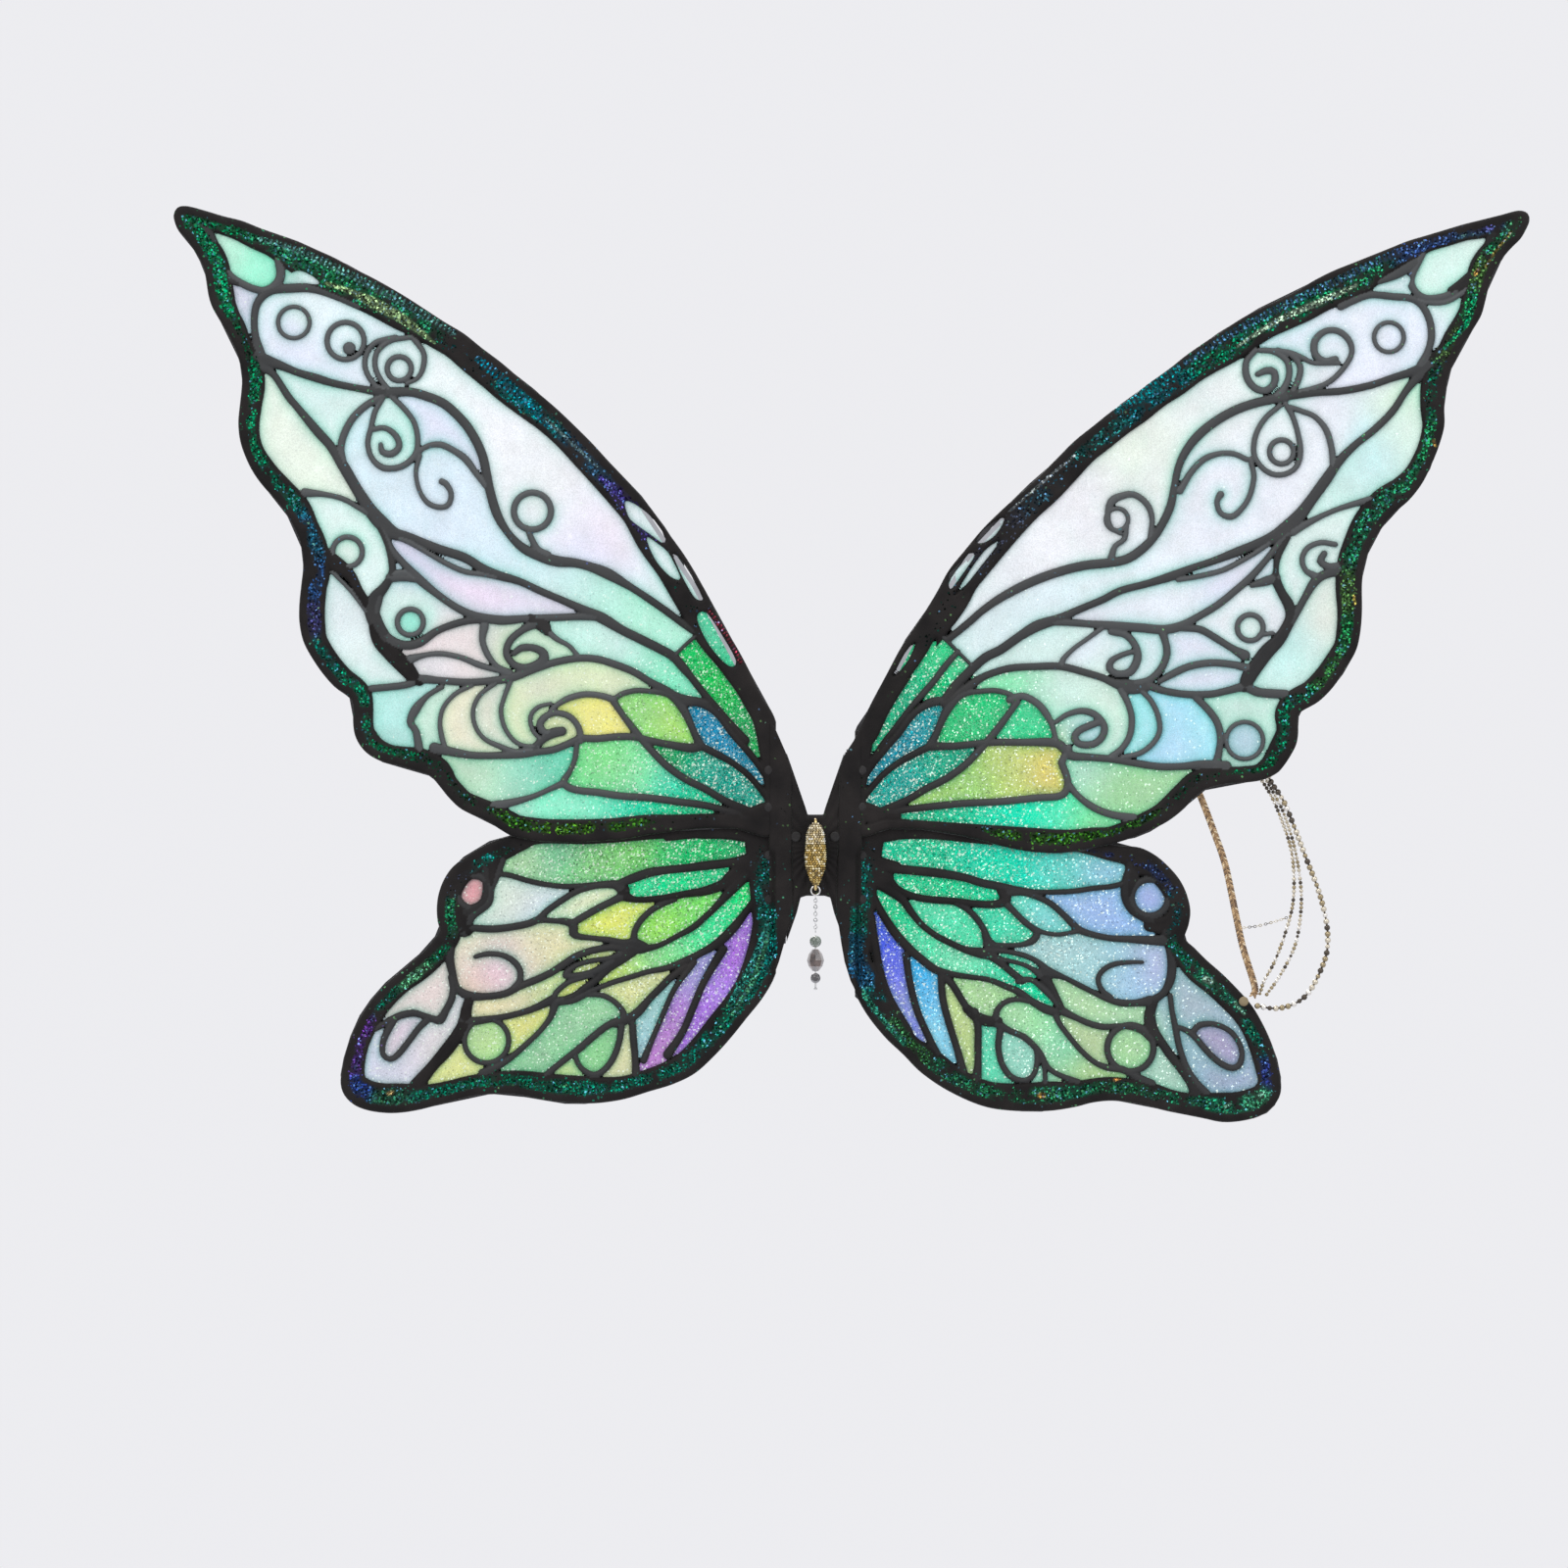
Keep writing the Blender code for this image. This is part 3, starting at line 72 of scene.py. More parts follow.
# Outlines: x, z and the width of the dark rim, in millimetres.
LEFT_FORE_EDGE = """-20,54,12 -30,76,11 -40,96,14 -50,113,17 -60,132,18 -70,149,18 -80,163,18 -90,177,16
-100,188.5,15.5 -110,199,15 -120,210,15 -130,220,14.5 -140,229.5,15 -150,238,16 -160,246,16.5
-170,254.5,16.5 -180,262,16 -190,270,15.5 -200,276,15.5 -210,282.5,16.5 -220,289,18 -230,295,18.5
-240,300.5,19 -250,305.5,19.5 -260,311,20 -270,315.5,18 -280,320,16 -290,323.5,13 -300,327,12
-310,331,11 -320,333.5,10 -330,336.5,10 -340,339,10 -345,338,10 -347,334,10 -346,329,10 -344,325,10
-340,320.5,12 -336,315,13 -332,308,14 -330,302,14 -329,296,14 -328,290,14 -326,284,13 -322,277,11.5
-318,270,11 -314,262,10 -311,253,12 -310,243,12.5 -311,233,12 -312,222,11.5 -311,212,11 -308,203,11
-304,195,12 -299,188,12.5 -292,180,13 -286,172,14 -281,163,13 -278,154,14 -277,144,15 -278,134,14
-279,124,14 -279,114,14 -277,104,13 -273,96,12.5 -267,87,12.5 -260,79,12.5 -252,73,12 -250,68,11
-250,60,11 -249,53,11 -246,47,11.5 -241,42,11 -233,38,10.5 -225,36,11 -215,33,13 -208,30.5,12 -203,25,10
-199,20,10 -193,14,10 -186,10,10.5 -177,6,11 -169,1,12 -163,-2,12 -150,-4.5,12.5 -140,-5,12.5
-125,-5,12.5 -110,-4,12 -100,-3,12 -90,-1,11 -75,1,9 -60,2.5,8 -45,2.5,8 -20,1.5,8"""
RIGHT_FORE_EDGE = """20,1,7 40,2,6 55,2,5 70,0,6 85,-3,8 100,-7,11 115,-10,13 130,-11,13 140,-10,12
150,-8,11 160,-6,9.5 170,-3,10 180,1,10.5 190,6,11 198,12,12 204,18,12 210,23,12 220,26,10 230,27,9
241,28.5,9 249,32,11 253,36,12 257,42,13 260,48,13 261,54,12 261,60,12 262,65,13 272,71,13 280,79,13
286,88,12.5 292,98,12.5 294.5,108,13 295.5,120,13.5 295.5,135,14.5 297,145,15 300,154,15 305,163,16
312,172,16 321,180,14 328,189,12 333,199,11 337,209,11 340,220,12 340,230,13 341,240,14 343,249,14
347,257,12 351,265,12 356,273,12 360,280,12.5 362,287,13 364,295,13 367,303,14 371,310,13 376,316,12
381,321,11 384,326,10 386,331,10 385,335,10 380,336.5,10 370,334,10 360,331.5,10 350,329,9 340,326,9
330,323,9 320,320,11 310,316,12 300,312,14 290,308,18 280,304,19 270,299,18 260,293,17.5 250,288,17
240,283.5,17 230,278,17.5 220,271.5,18 210,265,17 200,258,16 190,250,15.5 180,243,15 170,235,15
160,228,15 150,220,15 140,212,15 130,202,15.5 120,192,16 110,183,16 100,174,17 90,164,18 80,152,18
72,142,18 66,131,18 60,121,17 54,112,16 46,100,14 38,85,12 30,70,11 24,57,11 20,49,11"""
LEFT_HIND_EDGE = """-20,43,24 -27,43,24 -30,36,20 -34,14,12 -50,6,9 -80,5,8 -120,2,8 -150,2,8 -163,-1,10
-172,-3.5,12 -180,-7,12 -188,-12,12 -196,-18,12 -201,-25,12 -204,-33,12 -205,-41,12 -204.5,-48,12
-203.5,-53,12 -207,-58,12 -212,-64,12 -219,-70,12 -226,-76,11 -233,-82,11 -240,-90,11 -246,-99,11
-251,-109,11 -254.5,-119,11.5 -256.5,-129,12.5 -257,-136,14 -255,-142,15 -250,-147,16 -243,-150,16
-234,-151.5,16 -225,-151.5,16 -215,-150,14 -205,-147.5,12 -195,-145,11.5 -185,-142.5,11.5 -175,-141.5,12
-165,-141.5,13 -155,-143,14 -145,-145,15 -135,-146,15 -125,-146.5,15 -115,-146,14 -103,-144,12.5
-90,-140,12 -77,-136,13 -65,-130,14 -54,-120,15 -45,-110,16 -37,-100,16 -29,-90,17 -23,-80,17
-19.5,-70,17 -17,-60,16"""
RIGHT_HIND_EDGE = """14,-70,15 18.5,-80,16 23,-90,16 29,-100,16 38,-111,14 47.5,-120,12 57.5,-130,15
72.5,-140,14 91,-148,14 108,-150.5,15 126,-150.5,16 140,-148.5,14 150,-146,13 160,-145,13 170,-146,13
180,-148,13 190,-150.5,12 200,-152.5,12 210,-154.5,14 220,-156.5,16 230,-156,16 240,-153.5,16
247,-149,15 251.5,-142,14 252,-134,12.5 250,-124,12.5 247,-114,12.5 242,-103,12 236,-93,12.5 228,-84,13
220,-76,13.5 212,-69,14 205,-62,13 200,-57,12 202,-50,12 203,-42,12 201,-33,12 197,-25,12 191,-18,12
184,-12,12 176,-8,12 168,-7,10 160,-6,9 140,-2,8 100,2,8 60,5,8 34,14,12 30,36,20 27,43,24 20,43,24"""

# What each wing's frame is made of. Veins run from semicolon to semicolon: x, z and width at
# each point. Rings: x, z, radius and width. Dots: x, z and radius. Windows are holes in the
# dark rim: x and z round the edge.
LEFT_FORE_VEINS = """-38,10,5 -28,12,9;
-331,329,7 -325.5,318,6 -323,308,6 -318.5,301,5 -312,297.5,4;
-232,238,6 -220,238.5,5 -210,236,5 -200,231.5,5 -190,222,5 -184,213,5 -180,204,5 -178,195,5 -176,185,5
-172,172,5 -166,162,4 -158,154,5 -148,149.5,6 -140,147,6 -130,146,5 -122,144,5 -112,140,6 -100,133,4
-90,126.5,4 -80,119.5,4 -72,113.5,4 -64,108,4;
-232,238,6 -245,240,4 -260,243,4 -270,246,4.5 -280,249,4 -290,253,5 -303,257,9;
-300,258,6 -303,270,4 -303,282,4 -300,289,4.5 -294,293.5,5 -284,294.5,5 -272,294.5,5 -260,291,5
-246,285,5;
-291,314,5 -289,303,5 -291,297,5 -297,293.5,4 -303,294,4 -310,297,4 -316,301,4 -322,309,3 -330,312,3;
-300,253,7 -293,248,4 -285,236,4 -280,230,4 -270,218,5 -262,209,5 -255,198,6 -248,186,6 -241,175,7
-235,168,8 -228,162,7 -220,160,5 -205,154,5 -190,149,5 -180,143,5 -172,139.5,5 -160,136,4 -148,130.5,4
-135,125,4 -124,120,5 -115,116,6 -105,110,5 -95,105,5 -85,100,5 -77,95.5,5 -72,90,5 -67,84,4 -60,75,4
-53,67,4 -46,59,4 -38,50,5;
-228,161,4 -220,158,4 -212,153,3 -200,146,3 -190,141.5,3 -180,140,3 -172,139,4;
-235,168,6 -232,160,4 -229,153,4 -222,145,4 -214,137,5 -205,129.5,4 -195,122.5,4 -186,118,4.5 -178,116,5
-168,115,5 -155,116,4 -140,116.5,4 -128,117,4 -116,117,5;
-276,184,5 -265,183,3 -255,180.5,3 -247,176,3 -240,172,4 -235,168,5;
-240,172,4 -235,165,4 -231,156,4 -229,147,4 -229,140,4 -233,133,5 -238,127,7 -240,121,8 -237,112,8
-233,105,8;
-229,140,3.5 -222,141,3.5 -217,138,4;
-266,150,10 -256,143,8 -251,138.5,6 -247,131,5 -243,124,6;
-261,141,2.5 -252,132,2.5 -245,123,2.5 -239,114,3 -235,105,4;
-230,138,5 -222,138,4 -214,137,4;
-236,128,5 -238,118,5 -236,110,7 -230,104,6 -222,101.5,5 -214,103,5 -205,109,4 -195,113,4 -186,115,4
-178,115,4;
-240,116,4 -236,105,8 -229,97,9 -222,90,9 -217,84,7 -214,82,5;
-219,94,5 -212,96,3 -203,97,3 -192,95,3 -182,91,3.5 -172,88,3 -165,86,3;
-240,78,4 -222,80,4 -214,83,5 -204,82.5,4 -190,81.5,4 -178,82,4 -165,84,5 -152,88.5,4 -140,92.5,4
-128,94.5,4 -118,94,4 -108,91,4 -98,87,4 -90,82,4 -82,77.5,5 -76,74,5 -70,71.5,6 -64,71,5 -58,70,4;
-179,112,5 -180,104,3.5 -177,96,3.5 -172,90,3 -165,87,3;
-150,114,6 -158,110,4 -165,104,4 -167,97,4 -163,91,4 -156,89,5 -148,92,6 -147,97,5 -152,100,4 -159,100,4
-163,97,3;
-147,111,4 -140,105,3 -133,101,2.5 -128,95,3;
-154,116,5 -148,113,8 -145,109,5;
-202,79,3 -210,74,3 -216,67,5 -219,60,4 -216,55,4 -214,44,5;
-186,80,3 -195,75,2.5 -201,68,2.5 -203,60,2.5 -202,52,3 -200,45,3;
-173,81,2.5 -181,75,2.5 -185,67,2.5 -184,58,2.5 -179,51,2.5 -171,47,3 -162,44,3 -153,45,3;
-165,82,3 -168,74,2.5 -170,66,2.5 -168,57,2.5 -163,50,2.5 -157,47,2.5 -150,47,3;
-143,70,2 -150,68,2.5 -154,63,2.5 -153,56,2.5 -149,51,2.5;
-109,72,4 -115,74,3.5 -124,75,3.5 -133,73,3.5 -140,69,3 -143,66,3;
-127,50,4 -128,57,3.5 -133,63,3.5 -141,65,3.5 -147,62,4 -149,58,4 -146,54,4 -141,55,3.5;
-137,55,5 -142,54,5.5 -147,51,4.5 -152,46,4;
-206,46,6 -197,44,5 -185,42,4 -170,42,4 -158,43,5 -150,44,4 -142,45,4 -134,48,4 -127,51,4 -118,51,4
-108,52,4 -98,52,4 -90,50,4 -80,48,4 -68,46,5 -62,47,5;
-109,71,4 -105,65,3.5 -99,57,4 -95,52,4 -88,44,4 -80,36,4 -70,29,4 -60,24,4 -50,18,4 -42,14,5 -30,8,7;
-109,72,3 -105,75,3 -97,77,3 -88,76.5,3 -82,76,4 -77,74,5 -72,68,5 -68,60,4 -65,53,4 -62,47,5;
-73,71,4 -64,71,5 -56,67,4 -50,61,4 -45,54,4 -38,46,4 -30,36,4 -20,22,6;
-62,47,4 -54,43,4 -45,38,3.5 -36,31,3.5 -28,22,4 -20,14,9;
-129,49,3 -130,40,3 -133,33,3 -136,28,4 -134,25,4 -128,23,4 -118,22,4 -105,20,4 -90,19,4 -75,17,4
-60,15,4 -48,12,4 -38,9,6 -24,5,8;
-136,27,4 -143,24,3 -152,20,3 -162,17,4 -176,14,6;
-218,268,3 -212,260,3 -212,252,3 -215,246,2.5 -221,243,2.4;
-220,268,3 -230,266,3 -237,260,3 -238,252,3 -235,245,3 -231,240,3;
-227,268,3 -238,265,3 -243,258,3 -243,250,3 -238,242,3 -233,240,3;
-234,236,4 -243,231,4 -251,223,4 -256,212,4 -256,203,4 -252,193,4 -246,184,3.5 -240,176,3.5;
-234,235,3 -238,228,3 -240,220,3 -242,211,3 -240,203,3 -235,198,3.5 -229,197,3.5 -222,199,3.5
-216,205,3.5 -215,213,3 -217,222,3 -222,229,3 -228,235,3 -231,238,3;
-240,218,3 -233,219,3 -227,215,3.5 -225,209,3.5 -229,205,4 -234,206,3.5 -235,210,2.5;
-216,205,3 -210,209,3 -203,210,3.5 -196,207,3.5 -189,202,4 -183,194,3.5 -178,188,4;
-214,204,3 -216,195,2.5 -214,185,2.5 -209,178,3 -202,176,3 -198,178,3 -197,184,3 -200,189,3.5
-202,190,3.5;
-156,165,3 -153,158,3.5 -150,153,4 -145,150,5;
-78,94,2 -71,101,2 -63,108,2.4;
-44,9,5 -34,11,6 -26,13,8"""
LEFT_FORE_RINGS = "-282,276,8.5,2.4 -254,266,10,3 -225,251,6.5,3 -153,174,10,3.5 -253,152,8,3 -219,114,7,3"
LEFT_FORE_DOTS = "-252,262,3.5"
LEFT_FORE_WINDOWS = """-103,179 -98,178 -90,172 -84,165 -81,159 -83,157 -90,162 -97,167 -101,171;
-91,160 -86,157 -80,152 -76,145 -73,138 -75,137 -80,140 -86,147 -90,155;
-77,151 -72,147 -67,140 -62,129 -61,126 -65,127 -70,135 -74,143;
-64,117 -59,119 -50,106 -43,93 -46,90 -53,96 -60,106;
-284,302 -279,304 -272,301 -268,297 -274,297 -281,299"""
RIGHT_FORE_VEINS = """38,10,5 28,12,9;
366,324,6 362,309,7 353,299,7 344,293,5;
324,308,6 314,302,5 303,297.5,3;
254,236,6 240,233,5 228,229,5 217,223,5 207,215,5 200,206,4.5 196,197,4 194,187,4 192,177,4.5
188,168,4.5 183,160,4.5 176,153,5 168,148,5 158,146,5 148,145,5 138,143,5 125,139,5 113,134,5
100,127,4.5 90,120,4 82,113,4 72,105,4;
256,237,6 270,238,4 285,239,4 300,242,4 312,246,4 322,249,5 335,253,9;
284,285,5 290,288,5 300,291,4 312,290,4 322,289,4 328,285,4 332,277,4 333,268,4 331,260,4 328,253,6;
318,290,3 330,287,3 340,287,3 348,291,3 356,298,4;
328,313,4 322,300,4 324,293,4 330,289,4 340,290,4 347,294,4 356,302,4;
330,252,7 320,240,4 312,228,4 302,218,4 292,210,4 283,201,5 276,191,6 268,180,6 262,172,7 255,165,8
248,160,7 238,156,5 228,152,5 215,147,4 203,143,4 193,139,5 180,135,4 165,131,4 155,126,4 143,121,4
132,116,5 120,112,6 110,106,5 100,99,5 92,95,5 84,88,5 76,80,5 70,72,5;
248,160,5 240,153,3 230,147,3 220,142,3 208,139,3 196,137,3;
255,162,5 250,156,3.5 244,148,3.5 236,139,4 227,131,4 217,123,4 207,117,4 198,112,5 188,110,5 175,111,5
160,112,5 148,113,4 135,114,4 126,114,4;
302,181,4 285,176,3 275,172,3 265,167,4 258,163,5;
255,160,4 250,150,4 249,143,3 249,137,5 252,130,5 256,123,6 257,117,6 254,110,6 250,104,7 244,98,8
238,90,8 234,84,8 232,79,6;
287,143,7 276,140,5 270,136,5 265,128,4 260,119,4 256,112,4;
249,138,5 243,136,5 236,134,3;
198,111,4 208,110,4 217,105,4 225,100,4 232,96,6;
186,82,3 193,86,4 202,90,4 214,92,4 226,91,4 234,89,5;
180,80,5 188,77,4 200,75,4 213,75,4 223,77,4 232,79,5 240,76,5 254,75,5;
187,110,5 189,104,4 190,97,4 187,89,4 181,83,4 174,81,4 165,80,4;
160,109,4 168,107,4 173,101,4 174,94,4.5 170,87,4.5 163,86,4 159,89,4 160,93,3.5 165,96,3 171,98,3;
155,111,3 147,105,2.5 140,100,2.5 134,94,3 133,90,3.5;
70,70,5 76,74,5 84,80,5 92,85,4 105,89,4 120,90,4 133,90,4 145,87,4 155,84,4 162,81,5 170,79,8 178,79,6;
165,78,4 169,70,3.5 171,62,3.5 170,53,3.5 166,46,3.5 160,41,4;
175,78,3 181,72,3 185,64,3 186,55,3 182,48,3 175,43,3 166,41,3;
205,74,4 212,67,4 217,60,4 219,52,4 218,43,4 216,36,5;
62,47,5 75,47,4 95,49,4 112,49,4 128,49,5 133,47,5 138,42,5 148,41,4 160,40,4 172,38,4 185,36,4 198,36,4
210,37,5 222,36,6;
130,60,2.5 136,64,3 144,66,3.5 151,64,4 156,58,4 155,52,4 150,48,4 143,48,4 140,51,4 142,55,4 148,58,4
153,60,4;
105,72,4 112,74,4 120,70,4 125,64,4 128,58,3 130,50,3;
133,38,4 136,30,4 136,24,4 132,20,4 120,19,4 100,17,4 80,16,4 60,14,4 45,12,4 30,8,7;
137,46,4 133,38,4;
137,26,4 142,20,3.5 150,14,4 160,10,4 172,8,5;
109,71,4 105,65,3.5 99,57,4 95,52,4 88,44,4 80,36,4 70,29,4 60,24,4 50,18,4 42,14,5 30,8,7;
109,72,3 105,75,3 97,77,3 88,76.5,3 82,76,4 77,74,5 72,68,5 68,60,4 65,53,4 62,47,5;
73,71,4 64,71,5 56,67,4 50,61,4 45,54,4 38,46,4 30,36,4 20,22,6;
62,47,4 54,43,4 45,38,3.5 36,31,3.5 28,22,4 20,14,9;
77,98,3 70,90,3.5 64,82,3.5 57,74,3.5 50,66,3 44,58,3 37,49,3 30,38,3.5;
238,261,3 233,255,3.5 233,247,4 237,241,4 243,239,4 248,243,4 248,249,4 244,250,4 239,248,3;
240,261,3 248,260,3 255,255,3.5 256,247,3.5 253,240,4 249,236,4;
250,261,3 258,258,3.5 262,252,3.5 261,245,3.5 258,239,3;
242,261,3 255,260,3 263,257,3 270,254,2.5 283,254,2.5;
256,237,4 268,240,3 278,244,3 286,252,3 290,260,3 288,267,3.5 282,271.5,3.5 275,271,3.5 270,266,4
270,259,4 275,255,4 281,256,4;
257,230,3 263,228,3 270,225,3 276,218,3.5 279,208,3.5 280,198,4;
254,232,3 258,225,3 261,215,3 262,206,3.5 260,198,3 254,194,3 247,194,3 241,198,3 237,205,3 238,215,3
243,224,3 251,231,3;
233,202,3 226,205,3 218,205,3 210,202,3.5 203,195,3.5 197,185,4;
235,202,3 237,193,3 235,183,3 231,176,3 225,171,3.5 219,173,3 217,179,3 219,183,4;
181,160,3 182,170,3 179,178,3.5 172,183,3.5 165,182,4 160,179,4.5 158,172,3 160,165,2.5 165,162,2.5;
168,166,3 167,159,3 162,155,3 160,149,4;
281,156,3 273,157,3 266,154,3 263,148,3 265,142,3 270,139,4;
275,151,3.5 273,147,4 277,144,4 283,144,5;
240,107,2.5 247,108,2.5;
86,89,2 76,99,2 68,107,2.4;
44,9,5 34,11,6 26,13,8"""
RIGHT_FORE_RINGS = "232,50,10,2.5 310,268,8,2.5 252,206,6.5,3 163,169.5,6,2.5 235,111,7,3"
RIGHT_FORE_DOTS = ""
RIGHT_FORE_WINDOWS = """102,170 98,169 92,165 88,160 87,157 91,157 96,160 100,165;
99,158 92,153 85,144 78,133 75,129 82,135 90,145 97,154;
86,150 83,151 75,143 72,139 73,132 78,138 83,145;
54,103 49,98 44,89 42,85 46,88 51,95;
65,105 60,97 54,88 50,83 57,88 63,95 65,100;
303,293 308,296 315,299 321,301 321,297 316,293"""
LEFT_HIND_VEINS = """-172,-22,3 -165,-23,3 -155,-26,3 -145,-28,3 -135,-29,3 -125,-28.5,3
-115,-28,3.5 -108,-28,4 -100,-25,5 -90,-21.5,5 -80,-20,4.5 -70,-19,4.5 -58,-17.5,5 -45,-16,5 -35,-14,7
-20,-10,12;
-104,-31,7 -103,-34,6 -98,-36,3.5 -90,-36,3.5 -80,-35,4 -70,-33,4 -60,-31.5,5 -50,-28,6 -45,-24,8
-35,-17,10 -20,-12,12;
-104,-31,7 -108,-28,5 -115,-28,4 -122,-29,4 -130,-32,3.5 -138,-37,3.5 -145,-42,3.5 -150,-47,4;
-104,-34,5 -110,-37,4 -118,-41,4 -125,-45,4 -130,-48,4;
-192,-52,5 -185,-51.5,4 -175,-52,4 -165,-51,4 -155,-49,4 -150,-47,4 -142,-47.5,3 -135,-48,4 -131,-50,5
-131,-54,5 -128,-56,3.5 -120,-57,3 -112,-58,3.5 -104,-60,5 -98,-61,8 -93,-62,6;
-196,-78,4 -194,-84,4 -188,-88,5 -178,-88.5,4 -168,-87,4 -160,-83,4 -150,-79,4 -142,-75,4 -136,-71,4
-130,-67,4 -122,-64,4 -112,-62,4 -105,-62,5 -98,-62,8;
-197,-58,5 -198,-68,5 -196,-78,4;
-184,-67,2.5 -178,-65.5,3 -170,-66,3 -164,-69,3.5 -160,-74,3.5 -160,-80,3.5 -163,-84,4;
-105,-66,5 -112,-68,3 -120,-69,3 -128,-71,3 -133,-74,3.5 -135,-77,4 -130,-77.5,4 -122,-76,4 -116,-73,4
-110,-70,5;
-98,-62,8 -105,-68,6 -112,-73,5 -118,-79,4 -125,-84,4 -130,-88,4 -138,-91,4;
-142,-90,3 -140,-86,3 -134,-81,3 -127,-78.5,3 -121,-77,3;
-38,-22,8 -45,-30,6 -52,-38,4 -58,-44,3.5 -66,-51,3.5 -75,-56,3 -85,-61,3 -95,-63,5;
-24,-22,6 -30,-32,4 -37,-42,4 -44,-51,5 -52,-59,5 -60,-64,4 -70,-69,4 -80,-73,3.5 -90,-75,3 -100,-78,3
-110,-81,3 -120,-85,3 -130,-90,4 -138,-91,5;
-140,-91,4 -132,-89,3 -124,-87.5,3 -115,-88,3 -108,-92,3 -104,-97,3.5 -104,-100,5;
-70,-72,4 -78,-78,4 -84,-84,4 -90,-90,4 -96,-97,5 -102,-101,5 -108,-103,5;
-104,-101,5 -112,-104,4 -120,-110,4 -128,-117,4 -136,-123,3.5 -147,-132,3.5;
-141,-92,5 -143,-99,3.5 -148,-106,3 -155,-113,3 -163,-120,3.5 -170,-125,4 -180,-130,5;
-142,-90,5 -150,-94,4 -158,-97,3.5 -168,-99.5,3.5 -178,-101,4 -186,-102,5 -190,-102,7;
-187,-89,5 -189,-96,6 -190,-103,7 -194,-110,7 -200,-118,7 -207,-126,6 -212,-132,7 -216,-137,8;
-197,-78,4 -196,-84,4 -197,-90,4 -200,-96,4 -203,-101,5 -206,-101,4 -212,-99,3.5 -218,-97.5,4 -225,-99,4
-231,-102,4 -238,-106,3;
-210,-101,4 -215,-106,3.5 -221,-114,3.5 -226,-120,3.5 -230,-122.5,3 -234,-120,3 -234,-113,3.5
-231,-106,4 -228,-101,4;
-98,-60,5 -98,-54,3.5 -95,-48,3.5 -89,-42,3.5 -82,-38,3.5 -76,-36,3;
-105,-104,4 -106,-112,3.5 -109,-121,3.5 -114,-128,3.5 -120,-131,3.5 -127,-127,3 -130,-120,3 -128,-116,3;
-99,-103,4 -98.5,-112,4 -97.5,-122,4 -97,-133,5;
-93,-123,4 -88,-111,3 -82,-97,3 -76,-84,3 -66,-70,4;
-80,-120,5 -72,-108,4 -66,-94,4 -60,-80,4 -50,-63,5;
-54,-110,7 -46,-94,6 -38,-76,6 -33,-60,6 -30,-46,7;
-180,-14,6 -178,-24,5 -178,-33,5 -181,-39,5 -192,-44,6;
-168,-10,5 -170,-16,4 -172,-22,4 -175,-30,3 -177,-38,4 -186,-45,5 -190,-54,5;
-174,-15,9 -175,-21,6 -175,-28,4;
-180,-14,9 -193,-22,8 -198,-34,8 -194,-45,12 -189,-52,8;
-20,-2,14 -34,-1,9 -48,0,7 -64,0,6 -80,-2,5;
-22,-18,12 -32,-19,8 -42,-22,5;
-34,-14.5,6 -44,-17,5;
-32,-2.5,7 -44,-1.5,5"""
LEFT_HIND_RINGS = "-178,-112.5,12,3 -185,-32,9,4"
LEFT_HIND_DOTS = ""
